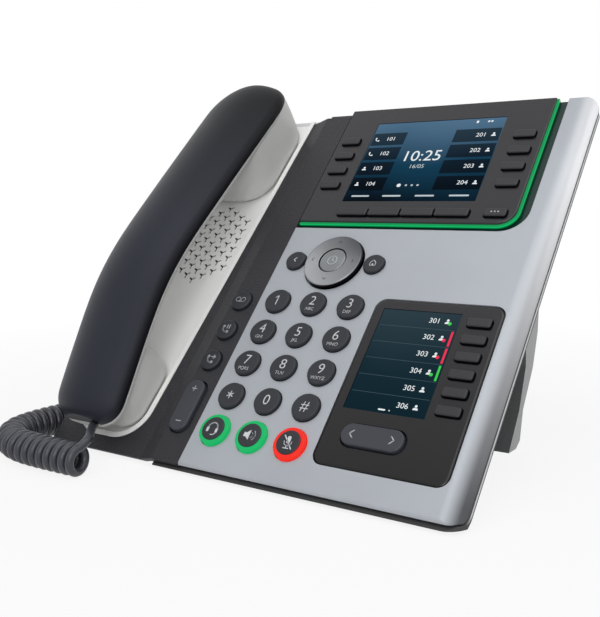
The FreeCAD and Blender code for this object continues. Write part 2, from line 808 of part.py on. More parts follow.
def side_block():
    plate = rounded_block("side_plate", "dim.side_left", "dim.side_bottom",
                          "-dim.side_depth - dim.seam_gap",
                          "dim.side_width", "dim.side_length", "dim.side_depth + dim.seam_gap",
                          "dim.side_corner")
    round_edges(plate, "side_plate_edge", "dim.side_edge", level_at(0))
    flange = rounded_block(
        "side_flange_plate", "dim.side_left - dim.side_flange", "dim.side_bottom - dim.side_flange",
        "-dim.side_depth - dim.seam_gap - dim.channel_floor", "dim.side_width + 2 * dim.side_flange",
        "dim.side_length + 2 * dim.side_flange", "dim.channel_floor",
        "dim.side_corner + dim.side_flange",
    )
    tools = [plain_cutter(
        "side_window", "dim.side_screen_left - dim.fit_gap", "dim.side_screen_bottom - dim.fit_gap",
        str(-THROUGH),
        "dim.side_screen_width + 2 * dim.fit_gap", "dim.side_screen_length + 2 * dim.fit_gap",
        str(2 * THROUGH),
    )]
    for name, s in side_places():
        tools.append(block_hole(name + "_hole", "dim.side_key_x", s, "dim.side_key_width",
                                "dim.side_key_length",
                                BAR_CORNER))
    tools.append(block_hole("page_hole", "dim.page_x", "dim.page_s", "dim.page_width", "dim.page_length",
                            "dim.page_length / 2 - dim.key_gap", "2 * dim.key_gap"))
    finished("side_bezel", on_panel(cut("side_bezel_cut", join("side_joined", [plate, flange]), tools)))
    screen = new_body("side_screen_body")
    add_box(screen, "side_screen_box", "0", "0", "-dim.screen_recess - dim.screen_depth",
            "dim.side_screen_width",
            "dim.side_screen_length", "dim.screen_depth")
    finished("side_display", on_panel(screen, "dim.side_screen_left", "dim.side_screen_bottom"))
    wall = "(dim.side_depth + dim.seam_gap + dim.channel_floor)"
    for name, s in side_places():
        bar_key(name, "dim.side_key_x", s, "dim.side_key_width", "dim.side_key_length", wall,
                "dim.line_rise",
                BAR_CORNER, drop="dim.fit_gap")
    bar_key("page_rocker", "dim.page_x", "dim.page_s", "dim.page_width", "dim.page_length", wall,
            "dim.line_rise",
            "dim.page_length / 2 - dim.fit_gap", drop="2 * dim.key_gap")


# Side deck: the dark strip beside the silver cover, a ramp and the lower deck round the tray.
def tray_outline(inset, top):
    """Corners of the tapered tray, drawn in at its sides and its lower end."""
    return [
        (f"{TRAY_X} - dim.tray_half_low + {inset}", f"dim.tray_bottom + {inset}"),
        (f"{TRAY_X} + dim.tray_half_low - {inset}", f"dim.tray_bottom + {inset}"),
        (f"{TRAY_X} + dim.tray_half_high - {inset}", top),
        (f"{TRAY_X} - dim.tray_half_high + {inset}", top),
    ]


def tray_prism(name, inset, low, height, corner, top="dim.tray_top"):
    """A block of the tray's outline with its two lower corners rounded."""
    body = new_body(name)
    add_pad(body, name + "_pad", "XY_Plane", tray_outline(inset, top), height)
    round_edges(body, name + "_corners", corner,
                lambda e: upright(e) and e.CenterOfMass.y < size("tray_bottom") + THROUGH)
    shift(body, "0", "0", low)
    return body


def side_deck():
    body = new_body("deck_body")
    left = "-dim.slab_width / 2"
    right = "dim.cover_left - dim.seam_gap"
    floor = "-dim.deck_drop - dim.deck_wall"
    outline = [
        (left, "-dim.deck_drop"),
        ("dim.ramp_end", "-dim.deck_drop"),
        ("dim.ramp_start", "0"),
        (right, "0"),
        (right, "-dim.deck_wall"),
        ("dim.ramp_start", "-dim.deck_wall"),
        ("dim.ramp_end", floor),
        (left, floor),
    ]
    add_pad(body, "deck_pad", "XZ_Plane", outline, "dim.deck_length", reverse=True)
    add_box(body, "deck_front", left, "0", floor, "dim.slab_width", "dim.deck_start",
            "dim.slab_width", "Subtractive")
    top = -size("deck_drop")
    round_edges(body, "deck_edge", "dim.deck_edge_round",
                lambda e: level_at(top)(e) and e.BoundBox.XMax < -size("slab_width") / 2 + 1)
    tools = [floor_wedge("deck_wedge", "0")]
    tools += [tray_prism("tray_opening", "-dim.fit_gap", "-dim.back_depth", str(THROUGH),
                         "dim.tray_corner + dim.fit_gap", "dim.tray_top + 1")]
    for name, s in function_places():
        tools.append(round_hole(name + "_hole", "dim.function_x", s,
                                "dim.function_radius + dim.key_gap"))
    tools.append(block_hole("volume_hole", "dim.function_x", "dim.volume_s", "dim.volume_width",
                            "dim.volume_length",
                            "dim.volume_width / 2 - dim.key_gap", "2 * dim.key_gap"))
    finished("side_deck", on_panel(cut("side_deck_cut", body, tools)))


def function_places():
    return [(name, f"dim.function_s + ({1 - i}) * dim.function_pitch")
            for i, name in enumerate(("voicemail_key", "hold_key", "transfer_key"))]


def deck_keys():
    for name, s in function_places():
        round_key(name, "dim.function_x", s, "dim.function_radius", "dim.deck_wall")
    bar_key("volume_rocker", "dim.function_x", "dim.volume_s", "dim.volume_width", "dim.volume_length",
            "dim.deck_wall", "dim.volume_rise", "dim.volume_width / 2 - dim.fit_gap",
            lip="dim.flange_lip",
            drop="2 * dim.key_gap")


# Cradle tray with the loudspeaker's grille of three-armed slots and the hole of the hook switch.
def slot_star():
    """Outline of one three-armed slot about its own centre."""
    half = size("slot_width") / 2
    reach = size("slot_length")
    root = half / math.sin(math.radians(60))
    corners = []
    for arm in range(3):
        angle = math.radians(30 + 120 * arm)
        along = Vector(math.cos(angle), math.sin(angle), 0)
        side = Vector(-along.y, along.x, 0)
        fork = angle - math.radians(60)
        corners.append(Vector(math.cos(fork), math.sin(fork), 0) * root)
        corners += [along * reach - side * half, along * reach + side * half]
    return corners


def grille_centres():
    """Centres of the slots, on a six-sided grid, that lie on the tray's flat floor."""
    pitch = size("grille_pitch")
    rings = int(size("grille_rings"))
    room = size("tray_half_low") - size("tray_rim") - size("tray_fillet")
    centres = []
    for q in range(-rings, rings + 1):
        for r in range(-rings, rings + 1):
            x = value_of(GRILLE_X) + pitch * q * math.sqrt(3) / 2
            s = size("grille_s") + pitch * (r + q / 2)
            if abs(q + r) <= rings and abs(x - value_of(TRAY_X)) < room + size("slot_length"):
                centres.append(Vector(x, s, 0))
    return centres


def cradle_tray():
    rim = "(dim.tray_rise - dim.deck_drop)"
    floor = "-dim.tray_floor - dim.tray_wall"
    outer = tray_prism("tray_outer", "0", floor, f"{rim} - ({floor})", "dim.tray_corner")
    flange = tray_prism("tray_flange_plate", "-dim.tray_flange", floor,
                        "dim.tray_floor + dim.tray_wall - dim.deck_drop - dim.deck_wall - dim.fit_gap",
                        "dim.tray_corner + dim.tray_flange")
    basin = tray_prism("tray_basin", "dim.tray_rim", "-dim.tray_floor", str(THROUGH),
                       "dim.tray_corner - dim.tray_rim", "dim.tray_top + 1")
    end = size("tray_top")
    round_edges(basin, "tray_basin_floor", "dim.tray_fillet",
                lambda e: level_at(0)(e) and e.CenterOfMass.y < end)
    hook = plain_cutter(
        "hook_hole", f"{TRAY_X} - dim.hook_width / 2 - dim.hook_gap",
        "dim.hook_s - dim.hook_length / 2 - dim.hook_gap",
        str(-THROUGH), "dim.hook_width + 2 * dim.hook_gap", "dim.hook_length + 2 * dim.hook_gap",
        str(THROUGH),
    )
    star = slot_star()
    slots = []
    for centre in grille_centres():
        face = Part.Face(Part.makePolygon([p + centre for p in star + star[:1]]))
        slots.append(face.extrude(Vector(0, 0, -THROUGH)))
    grille = doc.addObject("Part::Feature", "grille_slots")
    grille.Shape = Part.makeCompound(slots)
    tray = cut("cradle_tray_cut", join("tray_joined", [outer, flange]), [basin])
    finished("cradle_tray", on_panel(cut("cradle_tray_slots", tray, [hook, grille])))


def hook_switch():
    body = new_body("hook_body")
    top = "-dim.tray_floor + dim.cup_gap - dim.fit_gap"
    low = "-dim.tray_floor - dim.tray_wall - dim.hook_travel - dim.hook_gap - dim.flange_depth"
    add_box(body, "hook_plunger", "-dim.hook_width / 2", "-dim.hook_length / 2", low, "dim.hook_width",
            "dim.hook_length", f"{top} - ({low})")
    add_box(body, "hook_flange", "-dim.hook_width / 2 - dim.flange_lip",
            "-dim.hook_length / 2 - dim.flange_lip", low,
            "dim.hook_width + 2 * dim.flange_lip", "dim.hook_length + 2 * dim.flange_lip",
            "dim.flange_depth")
    finished("hook_switch", on_panel(body, TRAY_X, "dim.hook_s"))


def loudspeaker():
    body = new_body("speaker_body")
    top = "-dim.tray_floor - dim.tray_wall - dim.fit_gap"
    add_cylinder(body, "speaker_basket", "0", "0", f"{top} - dim.speaker_depth", "dim.speaker_radius",
                 "dim.speaker_depth")
    add_cylinder(body, "speaker_cone", "0", "0", f"{top} - dim.speaker_depth / 2",
                 "dim.speaker_radius - dim.housing_wall", "dim.speaker_depth", "Subtractive")
    finished("loudspeaker", on_panel(body, TRAY_X, "dim.grille_s"))


# Circuit board under the covers, with the jacks on its back.
def board_stack():
    width = f"dim.board_right - {BOARD_LEFT}"
    length = "dim.board_top - dim.board_bottom"
    board = new_body("board_body")
    low = "-dim.board_level - dim.board_depth"
    add_box(board, "board_sheet", BOARD_LEFT, "dim.board_bottom", low, width, length,
            "dim.board_depth")
    reach = "(dim.back_depth - dim.board_level - dim.board_depth)"
    for i in range(2):
        left = f"({i} - 0.5) * dim.jack_pitch - dim.jack_width / 2"
        add_box(board, f"jack_{i}", left, "dim.jack_s - dim.jack_length / 2", f"{low} - {reach}",
                "dim.jack_width", "dim.jack_length", reach)
        add_box(board, f"jack_socket_{i}", f"{left} + dim.housing_wall / 2",
                "dim.jack_s - dim.jack_length / 2 + dim.housing_wall / 2", f"{low} - {reach}",
                "dim.jack_width - dim.housing_wall", "dim.jack_length - dim.housing_wall",
                "dim.jack_depth",
                "Subtractive")
    finished("circuit_board", on_panel(board))


# Handset: two shells that meet along a seam, which bends about a third from the lower end.
def seam_height(s):
    """Height of the seam over the panel at a place along it."""
    t = s - size("handset_bend_s")
    low = size("handset_slope_low")
    high = size("handset_slope_high")
    bend = math.hypot(t, size("handset_bend_round"))
    return size("handset_bend_w") + (high + low) / 2 * t + (high - low) / 2 * bend


def end_factor(s):
    """Share of the full section that is left near the rounded ends."""
    low = size("handset_low")
    high = size("handset_high")
    share = 1.0
    if s < low + size("handset_end_low"):
        share = (low + size("handset_end_low") - s) / size("handset_end_low")
    elif s > high - size("handset_end_high"):
        share = (s - high + size("handset_end_high")) / size("handset_end_high")
    else:
        return 1.0
    return math.sqrt(max(0.0, 1.0 - share ** 2.6))


def half_width(s):
    low = size("handset_low")
    share = (s - low) / (size("handset_high") - low)
    return size("handset_half_low") + (size("handset_half_high") - size("handset_half_low")) * share


def arch(s, half, height, seam, up):
    """A flat line at the seam closed by a three-centred arch above or below it."""
    side = 0.55 * height
    crown = ((half - side) ** 2 + height ** 2 - side ** 2) / (2 * (height - side))
    centre = height - crown
    lean = math.atan2(half - side, -centre)
    def point(x, w):
        return Vector(x, s, seam + up * w)
    def on_side(angle):
        return half - side + side * math.cos(angle), side * math.sin(angle)
    turn = math.pi / 2 - lean
    join_x, join_w = on_side(turn)
    mid_x, mid_w = on_side(turn / 2)
    edges = [
        Part.makeLine(point(-half, 0), point(half, 0)),
        Part.Arc(point(half, 0), point(mid_x, mid_w), point(join_x, join_w)).toShape(),
        Part.Arc(point(join_x, join_w), point(0, height), point(-join_x, join_w)).toShape(),
        Part.Arc(point(-join_x, join_w), point(-mid_x, mid_w), point(-half, 0)).toShape(),
    ]
    return Part.Wire(edges)


def handset_stations(inset):
    """Places along the handset for its sections, closer together at the rounded ends."""
    low = size("handset_low")
    high = size("handset_high")
    stations = []
    for share in (0.03, 0.12, 0.35, 0.7, 1.0):
        stations.append(low + size("handset_end_low") * share)
    middle_low = stations[-1]
    middle_high = high - size("handset_end_high")
    for step in range(1, 7):
        stations.append(middle_low + (middle_high - middle_low) * step / 7)
    for share in (1.0, 0.72, 0.42, 0.18, 0.03):
        stations.append(high - size("handset_end_high") * share)
    if inset:
        return [s for s in stations if low + 1.5 * inset < s < high - 1.5 * inset]
    return stations


def handset_loft(depth, up, inset):
    """One half of the handset, or its hollow, drawn in by an inset and open past the seam."""
    wires = []
    gap = size("handset_seam_gap") / 2
    past = inset / 2
    for s in handset_stations(inset):
        share = end_factor(s)
        half = (half_width(s)) * (0.35 + 0.65 * share) - inset
        height = depth * (0.45 + 0.55 * share) - inset + past
        wires.append(arch(s, half, height, seam_height(s) + up * (gap - past), up))
    return Part.makeLoft(wires, True, False)


def under_seam():
    """Everything lower than a little under the seam, where the cups run into the shell."""
    low = size("handset_low") - 1
    high = size("handset_high") + 1
    count = 24
    gap = size("cup_merge")
    tops = []
    for i in range(count + 1):
        s = low + (high - low) * i / count
        tops.append(Vector(0, s, seam_height(s) - gap))
    curve = Part.BSplineCurve()
    curve.interpolate(tops)
    floor = -THROUGH
    edges = [
        curve.toShape(),
        Part.makeLine(tops[-1], Vector(0, high, floor)),
        Part.makeLine(Vector(0, high, floor), Vector(0, low, floor)),
        Part.makeLine(Vector(0, low, floor), tops[0]),
    ]
    face = Part.Face(Part.Wire(edges))
    face.translate(Vector(-THROUGH, 0, 0))
    return face.extrude(Vector(2 * THROUGH, 0, 0))


def plan_prism(inset):
    """The handset's outline in plan as an upright block, drawn in by an inset."""
    right = []
    for s in handset_stations(0):
        half = half_width(s) * (0.35 + 0.65 * end_factor(s)) - inset
        right.append(Vector(half, s, -THROUGH))
    left = [Vector(-p.x, p.y, p.z) for p in reversed(right)]
    edges = []
    for points in (right, left):
        curve = Part.BSplineCurve()
        curve.interpolate(points)
        edges.append(curve.toShape())
    edges.append(Part.makeLine(right[-1], left[0]))
    edges.append(Part.makeLine(left[-1], right[0]))
    face = Part.Face(Part.Wire(Part.__sortEdges__(edges)))
    return face.extrude(Vector(0, 0, 2 * THROUGH))


def end_wedge(high, lean, bottom, inset):
    """Everything past a leaning end wall, from a place at the tray to a place at the seam."""
    seam = seam_height(high + lean)
    slope = lean / (seam - bottom)
    start = high - inset
    outline = [
        Vector(-THROUGH, start - slope * THROUGH, bottom - THROUGH),
        Vector(-THROUGH, start + slope * THROUGH, bottom + THROUGH),
        Vector(-THROUGH, start + 2 * THROUGH, bottom + THROUGH),
        Vector(-THROUGH, start + 2 * THROUGH, bottom - THROUGH),
    ]
    face = Part.Face(Part.makePolygon(outline + outline[:1]))
    return face.extrude(Vector(2 * THROUGH, 0, 0))


def cup(name, inset):
    """A cup of the handset as far as the seam, drawn in by an inset where it is the hollow."""
    def tray_half(s):
        share = (s - size("tray_bottom")) / (size("tray_top") - size("tray_bottom"))
        return size("tray_half_low") + (size("tray_half_high") - size("tray_half_low")) * share
    low = size(name + "_bottom")
    lean = size(name + "_lean")
    high = size(name + "_top")
    end = high + 2 * lean
    room = size("tray_rim") + size("cup_side_gap") + inset
    half_low = min(tray_half(low) - room, half_width(low) - inset)
    half_high = min(tray_half(end) - room, half_width(end) - inset)
    bottom = -size("tray_floor") + size("cup_gap") + inset
    corners = [
        Vector(-half_low, low + inset, bottom),
        Vector(half_low, low + inset, bottom),
        Vector(half_high, end - inset, bottom),
        Vector(-half_high, end - inset, bottom),
    ]
    face = Part.Face(Part.makePolygon(corners + corners[:1]))
    solid = face.extrude(Vector(0, 0, THROUGH))
    tall = [e for e in solid.Edges if upright(e) and (not lean or e.CenterOfMass.y < high)]
    solid = solid.makeFillet(size(name + "_corner") - inset, tall)
    if lean:
        solid = solid.common(plan_prism(inset + size("handset_seam_gap")))
        solid = solid.cut(end_wedge(high, lean, bottom - inset, inset))
    rim = [e for e in solid.Edges if level_at(bottom)(e)]
    return solid.makeFillet(size("cup_fillet") - inset / 2, rim)


def handset():
    wall = size("handset_wall")
    back = handset_loft(size("handset_crown"), 1, 0).cut(handset_loft(size("handset_crown"), 1, wall))
    place_handset("handset_back", back)
    below = under_seam()
    front = handset_loft(size("handset_belly"), -1, 0)
    hollows = [handset_loft(size("handset_belly"), -1, wall)]
    for name in ("ear_cup", "mouth_cup"):
        front = front.fuse(cup(name, 0).common(below))
        hollows.append(cup(name, wall).common(below))
    for hollow in hollows:
        front = front.cut(hollow)
    place_handset("handset_front", front)


def place_handset(name, shape):
    feature = doc.addObject("Part::Feature", name + "_form")
    feature.Shape = shape
    on_panel(feature, TRAY_X)
    finished(name, feature)


# Stand: a hollow wedge behind the slab that stands on the desk and hooks into the housing's back.
def back_point(s):
    """Expressions of the world y and z of a place on the back, a seam's gap off it."""
    depth = "(dim.back_depth + dim.seam_gap)"
    return (
        f"dim.panel_front + ({s}) * cos(dim.panel_tilt) + {depth} * sin(dim.panel_tilt)",
        f"{PANEL_LIFT} + ({s}) * sin(dim.panel_tilt) - {depth} * cos(dim.panel_tilt)",
    )


def stand():
    body = new_body("stand_body")

    def at(y, z):
        return f"dim.panel_front + {y}", str(z)

    outline = [
        at(112, 0), at(121, 0), at(126, 3), at(129, 17.4), at(140.7, 36), at(146, 53), at(147, 71),
        back_point("dim.stand_top"), back_point("dim.stand_arm"),
        at(122, 64), at(127.5, 61.5), at(129.8, 57), at(131, 38), at(124, 18),
    ]
    add_pad(body, "stand_pad", "YZ_Plane", outline, "dim.stand_width", centred=True)
    hollow = new_body("stand_hollow")
    inside = [
        at(138, 50), at(142.3, 72),
        back_point("dim.stand_top - 2 * dim.stand_wall"),
        back_point("dim.stand_arm + 2 * dim.stand_wall"),
        at(124, 68), at(132, 64),
    ]
    add_pad(hollow, "stand_hollow_pad", "YZ_Plane", inside, "dim.stand_width - 2 * dim.stand_wall",
            centred=True)
    members = [cut("stand_shell", body, [hollow])]
    for side in (-1, 1):
        tab = new_body(f"stand_tab_{side + 1}")
        left = f"{side} * dim.hook_tab_x - dim.hook_tab_width / 2"
        deep = "(dim.housing_wall + dim.seam_gap + dim.hook_tab_thick + dim.key_gap)"
        add_box(tab, f"tab_root_{side + 1}", left, "dim.hook_tab_s - dim.hook_tab_thick",
                "-dim.back_depth - dim.seam_gap - dim.stand_wall", "dim.hook_tab_width",
                "dim.hook_tab_thick",
                f"{deep} + dim.stand_wall")
        add_box(tab, f"tab_nose_{side + 1}", left, "dim.hook_tab_s - dim.hook_tab_thick",
                f"-dim.back_depth - dim.seam_gap + {deep} - dim.hook_tab_thick", "dim.hook_tab_width",
                "dim.hook_tab_thick + dim.hook_tab_reach", "dim.hook_tab_thick")
        add_box(tab, f"tab_beam_{side + 1}", left, "dim.hook_tab_s - dim.hook_tab_thick",
                "-dim.back_depth - dim.seam_gap - dim.stand_wall", "dim.hook_tab_width",
                "dim.stand_top - dim.hook_tab_s - dim.hook_tab_thick", "dim.stand_wall")
        on_panel(tab)
        members.append(tab)
    finished("stand", join("stand_joined", members))


# Handset cord: a helix about a route on the desk, with a short tail at each end.
COIL_ROUTE = ((-56, -25.5), (-84, -26.5), (-104, -23.5), (-116.5, -13), (-119.5, 2), (-118, 18),
              (-117.5, 32))
COIL_LEVEL = 7.6


def route_edges(points):
    """Straight runs joined by tangent arcs, each as large as its two runs allow."""
    edges = []
    here = points[0]
    for before, corner, after in zip(points, points[1:], points[2:]):
        back = (before - corner).normalize()
        ahead = (after - corner).normalize()
        shorter = min((before - corner).Length, (after - corner).Length)
        reach = 0.45 * shorter
        turn = math.pi - back.getAngle(ahead)
        start = corner + back * reach
        end = corner + ahead * reach
        half_angle = (math.pi - turn) / 2
        middle = (back + ahead).normalize()
        radius = reach * math.tan(half_angle)
        centre = corner + middle * (reach / math.cos(half_angle))
        edges.append(Part.makeLine(here, start))
        edges.append(Part.Arc(start, centre - middle * radius, end).toShape())
        here = end
    edges.append(Part.makeLine(here, points[-1]))
    return edges


def along_route(edges, distance):
    """Place, direction and bend of the route at a distance from its start."""
    for edge in edges:
        if distance <= edge.Length or edge is edges[-1]:
            parameter = edge.getParameterByLength(min(max(distance, 0.0), edge.Length))
            bend = 1.0 / edge.Curve.Radius if edge.Curve.TypeId == "Part::GeomCircle" else 0.0
            return edge.valueAt(parameter), edge.tangentAt(parameter).normalize(), bend
        distance -= edge.Length


def biarc(start, start_way, end, end_way):
    """Two tangent arcs from one place and direction to another."""
    span = end - start
    both = start_way + end_way
    spread = 2 * (1 - start_way.dot(end_way))
    if spread < 1e-9:
        reach = span.dot(span) / (4 * span.dot(end_way))
    else:
        reach = (math.sqrt(span.dot(both) ** 2 + spread * span.dot(span)) - span.dot(both)) / spread
    first = start + start_way * reach
    last = end - end_way * reach
    middle = (first + last) * 0.5
    return [tangent_arc(start, first, middle), tangent_arc(middle, last, end)]


def tangent_arc(start, corner, end):
    """The arc between two places whose tangents meet at a corner."""
    chord = (start + end) * 0.5
    rise = corner - chord
    half = (end - start).Length / 2
    sagitta = half * math.tan(math.atan2(rise.Length, half) / 2)
    return Part.Arc(start, chord + rise.normalize() * sagitta, end).toShape()


def helix_places(edges):
    """Places and directions at each half turn of the helix about the route."""
    total = sum(edge.Length for edge in edges)
    radius = size("coil_radius")
    step = 0.02
    turned = math.pi / 2
    distance = 0.0
    places = []
    next_turn = turned
    while distance < total:
        place, way, bend = along_route(edges, distance)
        pitch = size("coil_pitch") / (1 - 1.1 * radius * bend)
        if turned >= next_turn:
            up = Vector(0, 0, 1)
            out = way.cross(up)
            radial = out * math.cos(turned) + up * math.sin(turned)
            around = up * math.cos(turned) - out * math.sin(turned)
            rate = 2 * math.pi / pitch
            direction = way * 1.0 + around * (radius * rate)
            places.append((place + radial * radius, direction.normalize()))
            next_turn += math.pi / 2
        turned += 2 * math.pi / pitch * step
        distance += step
    return places


def least_self_gap(wire, diameter):
    """Smallest clear distance between turns, measured on points along the wire."""
    count = int(wire.Length / 1.5)
    points = wire.discretize(Number=count)
    apart = int(4 * diameter / 1.5)
    least = 1e9
    for i, here in enumerate(points):
        for there in points[i + apart:]:
            least = min(least, here.distanceToPoint(there))
    return least - diameter


def handset_cord():
    front = size("panel_front")
    level = COIL_LEVEL
    route = route_edges([Vector(x, front + y, level) for x, y in COIL_ROUTE])
    places = helix_places(route)
    places = places[:4 * ((len(places) - 3) // 4) + 3]
    edges = []
    stub = size("cord_stub")
    exit_s = size("handset_low") + size("handset_end_low") * 0.03 - size("handset_seam_gap")
    exit_w = seam_height(exit_s) - size("handset_belly") * 0.3
    exit_place = panel_point(value_of(TRAY_X), exit_s, exit_w)
    exit_way = (panel_point(0, -1, 0) - panel_point(0, 0, 0)).normalize()
    stub_end = exit_place + exit_way * stub
    edges.append(Part.makeLine(exit_place, stub_end))
    lead_in = Vector(-57, front - 9, 7)
    lead_way = Vector(0.35, -0.85, 0.4).normalize()
    edges += biarc(stub_end, exit_way, lead_in, lead_way)
    edges += biarc(lead_in, lead_way, *places[0])
    for (start, start_way), (end, end_way) in zip(places, places[1:]):
        edges += biarc(start, start_way, end, end_way)
    jack = panel_point(size("cord_jack_x"), size("cord_jack_s"), -size("back_depth"))
    inward = (panel_point(0, 0, 1) - panel_point(0, 0, 0)).normalize()
    stub_start = jack - inward * stub
    lead_out = Vector(-94, front + 52, 4.5)
    lead_out_way = Vector(0.45, 0.89, 0.05).normalize()
    edges += biarc(*places[-1], lead_out, lead_out_way)
    edges += biarc(lead_out, lead_out_way, stub_start, inward)
    edges.append(Part.makeLine(stub_start, jack))
    wire = Part.Wire(edges)
    diameter = size("cord_diameter")
    circle = Part.Wire(Part.makeCircle(diameter / 2, exit_place, exit_way))
    solid = wire.makePipeShell([circle], True, False)
    tightest = min(edge.Curve.Radius for edge in edges if edge.Curve.TypeId == "Part::GeomCircle")
    print("cord length", round(wire.Length, 1), "turns", len(places) / 4, "tightest bend",
          round(tightest, 2))
    print("cord least gap to itself", round(least_self_gap(wire, diameter), 2))
    print("cord volume", round(solid.Volume, 1), "section by length",
          round(math.pi * diameter ** 2 / 4 * wire.Length, 1))
    feature = doc.addObject("Part::Feature", "handset_cord_form")
    feature.Shape = solid
    finished("handset_cord", feature)


rear_housing()
rubber_feet()
front_cover()
cover_keys()
main_block()
main_keys()
side_block()
side_deck()
deck_keys()
cradle_tray()
hook_switch()
loudspeaker()
board_stack()
handset()
stand()
handset_cord()
doc.recompute()

for obj in doc.Objects:
    if "Invalid" in obj.State or "Error" in obj.State:
        raise RuntimeError(f"{obj.Label} failed to build")
for name, obj in pieces.items():
    if obj.Shape.isNull() or not obj.Shape.isValid():
        raise RuntimeError(f"{name} has no valid shape")

os.makedirs("parts", exist_ok=True)
for name, obj in pieces.items():
    obj.Shape.exportStep(f"parts/{name}.step")
print(len(pieces), "sub-parts")
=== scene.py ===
import math

import bmesh
import bpy
from mathutils import Matrix, Vector


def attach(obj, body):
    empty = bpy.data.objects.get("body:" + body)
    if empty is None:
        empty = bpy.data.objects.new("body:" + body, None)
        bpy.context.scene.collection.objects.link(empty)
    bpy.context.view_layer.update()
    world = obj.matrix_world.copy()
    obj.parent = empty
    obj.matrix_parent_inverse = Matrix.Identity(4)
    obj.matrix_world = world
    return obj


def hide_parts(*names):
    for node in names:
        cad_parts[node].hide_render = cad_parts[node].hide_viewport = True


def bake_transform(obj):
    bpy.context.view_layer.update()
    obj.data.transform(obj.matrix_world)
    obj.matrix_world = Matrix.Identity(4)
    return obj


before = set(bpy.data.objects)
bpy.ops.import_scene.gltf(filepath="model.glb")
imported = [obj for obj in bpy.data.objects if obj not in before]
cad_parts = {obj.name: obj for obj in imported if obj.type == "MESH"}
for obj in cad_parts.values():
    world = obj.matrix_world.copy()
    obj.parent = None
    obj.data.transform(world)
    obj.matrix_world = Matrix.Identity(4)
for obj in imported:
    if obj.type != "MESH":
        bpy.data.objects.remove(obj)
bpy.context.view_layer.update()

# Sizes are in millimetres on the panel and in metres in the world.
MM = 0.001
TILT = math.radians(47.87)
PANEL_FRONT = -72.9
PANEL_LIFT = 1.2 + 3.0 * math.cos(TILT)
ACROSS = Vector((1, 0, 0))
UP_SLOPE = Vector((0, math.cos(TILT), math.sin(TILT)))
OUT = Vector((0, -math.sin(TILT), math.cos(TILT)))
ORIGIN = Vector((0, PANEL_FRONT, PANEL_LIFT))


def panel(x, s, w):
    """A place on the tilted panel, in metres in the world."""
    return (ORIGIN + ACROSS * x + UP_SLOPE * s + OUT * w) * MM


def panel_matrix(x, s, w):
    """Turns drawings in millimetres into pieces on the panel."""
    turn = Matrix((ACROSS, UP_SLOPE, OUT)).transposed().to_4x4()
    return Matrix.Translation(panel(x, s, w)) @ turn @ Matrix.Scale(MM, 4)


# Materials
def node_of(tree, kind, **settings):
    node = tree.nodes.new(kind)
    for key, value in settings.items():
        setattr(node, key, value)
    return node


def noise(tree, scale, detail=3.0, rough=0.55):
    """A noise texture in the object's own space."""
    place = node_of(tree, "ShaderNodeTexCoord")
    texture = node_of(tree, "ShaderNodeTexNoise")
    texture.inputs["Scale"].default_value = scale
    texture.inputs["Detail"].default_value = detail
    texture.inputs["Roughness"].default_value = rough
    tree.links.new(place.outputs["Object"], texture.inputs["Vector"])
    return texture


def ramp(tree, source, stops):
    """A colour ramp over a value, with stops of position and colour."""
    node = node_of(tree, "ShaderNodeValToRGB")
    while len(node.color_ramp.elements) < len(stops):
        node.color_ramp.elements.new(0.5)
    for element, (position, colour) in zip(node.color_ramp.elements, stops):
        element.position = position
        element.color = (*colour, 1.0)
    tree.links.new(source, node.inputs["Fac"])
    return node.outputs["Color"]


def shade(colour, factor):
    return tuple(min(1.0, channel * factor) for channel in colour)


def plastic(name, colour, rough=0.45, grain=900.0, bump=0.1, drift=0.07, coat=0.0, specular=0.5, metal=0.0):
    """Moulded plastic: slow drift of colour, uneven gloss, a fine grain and softened edges."""
    material = bpy.data.materials.new(name)
    material.use_nodes = True
    tree = material.node_tree
    shader = tree.nodes["Principled BSDF"]
    shader.inputs["Specular IOR Level"].default_value = specular
    shader.inputs["Metallic"].default_value = metal
    shader.inputs["Coat Weight"].default_value = coat
    shader.inputs["Coat Roughness"].default_value = 0.06
    slow = noise(tree, 26.0, 4.0)
    tint = ramp(tree, slow.outputs["Fac"], [(0.3, shade(colour, 1 - drift)), (0.7, shade(colour, 1 + drift))])
    tree.links.new(tint, shader.inputs["Base Color"])
    fine = noise(tree, grain, 2.0)
    gloss = node_of(tree, "ShaderNodeMapRange")
    gloss.inputs["To Min"].default_value = max(0.03, rough - 0.07)
    gloss.inputs["To Max"].default_value = min(1.0, rough + 0.07)
    tree.links.new(slow.outputs["Fac"], gloss.inputs["Value"])
    tree.links.new(gloss.outputs["Result"], shader.inputs["Roughness"])
    edge = node_of(tree, "ShaderNodeBevel", samples=4)
    edge.inputs["Radius"].default_value = 0.0003
    relief = node_of(tree, "ShaderNodeBump")
    relief.inputs["Strength"].default_value = bump
    relief.inputs["Distance"].default_value = 0.0002
    tree.links.new(edge.outputs["Normal"], relief.inputs["Normal"])
    tree.links.new(fine.outputs["Fac"], relief.inputs["Height"])
    tree.links.new(relief.outputs["Normal"], shader.inputs["Normal"])
    return material


def measure(tree, way, start, low, high):
    """How far a point lies along a direction from a start, as a share of the run from low to high."""
    place = node_of(tree, "ShaderNodeTexCoord")
    offset = node_of(tree, "ShaderNodeVectorMath", operation="SUBTRACT")
    offset.inputs[1].default_value = start * MM
    tree.links.new(place.outputs["Object"], offset.inputs[0])
    along = node_of(tree, "ShaderNodeVectorMath", operation="DOT_PRODUCT")
    along.inputs[1].default_value = way
    tree.links.new(offset.outputs["Vector"], along.inputs[0])
    share = node_of(tree, "ShaderNodeMapRange")
    share.inputs["From Min"].default_value = low * MM
    share.inputs["From Max"].default_value = high * MM
    tree.links.new(along.outputs["Value"], share.inputs["Value"])
    return share.outputs["Result"]


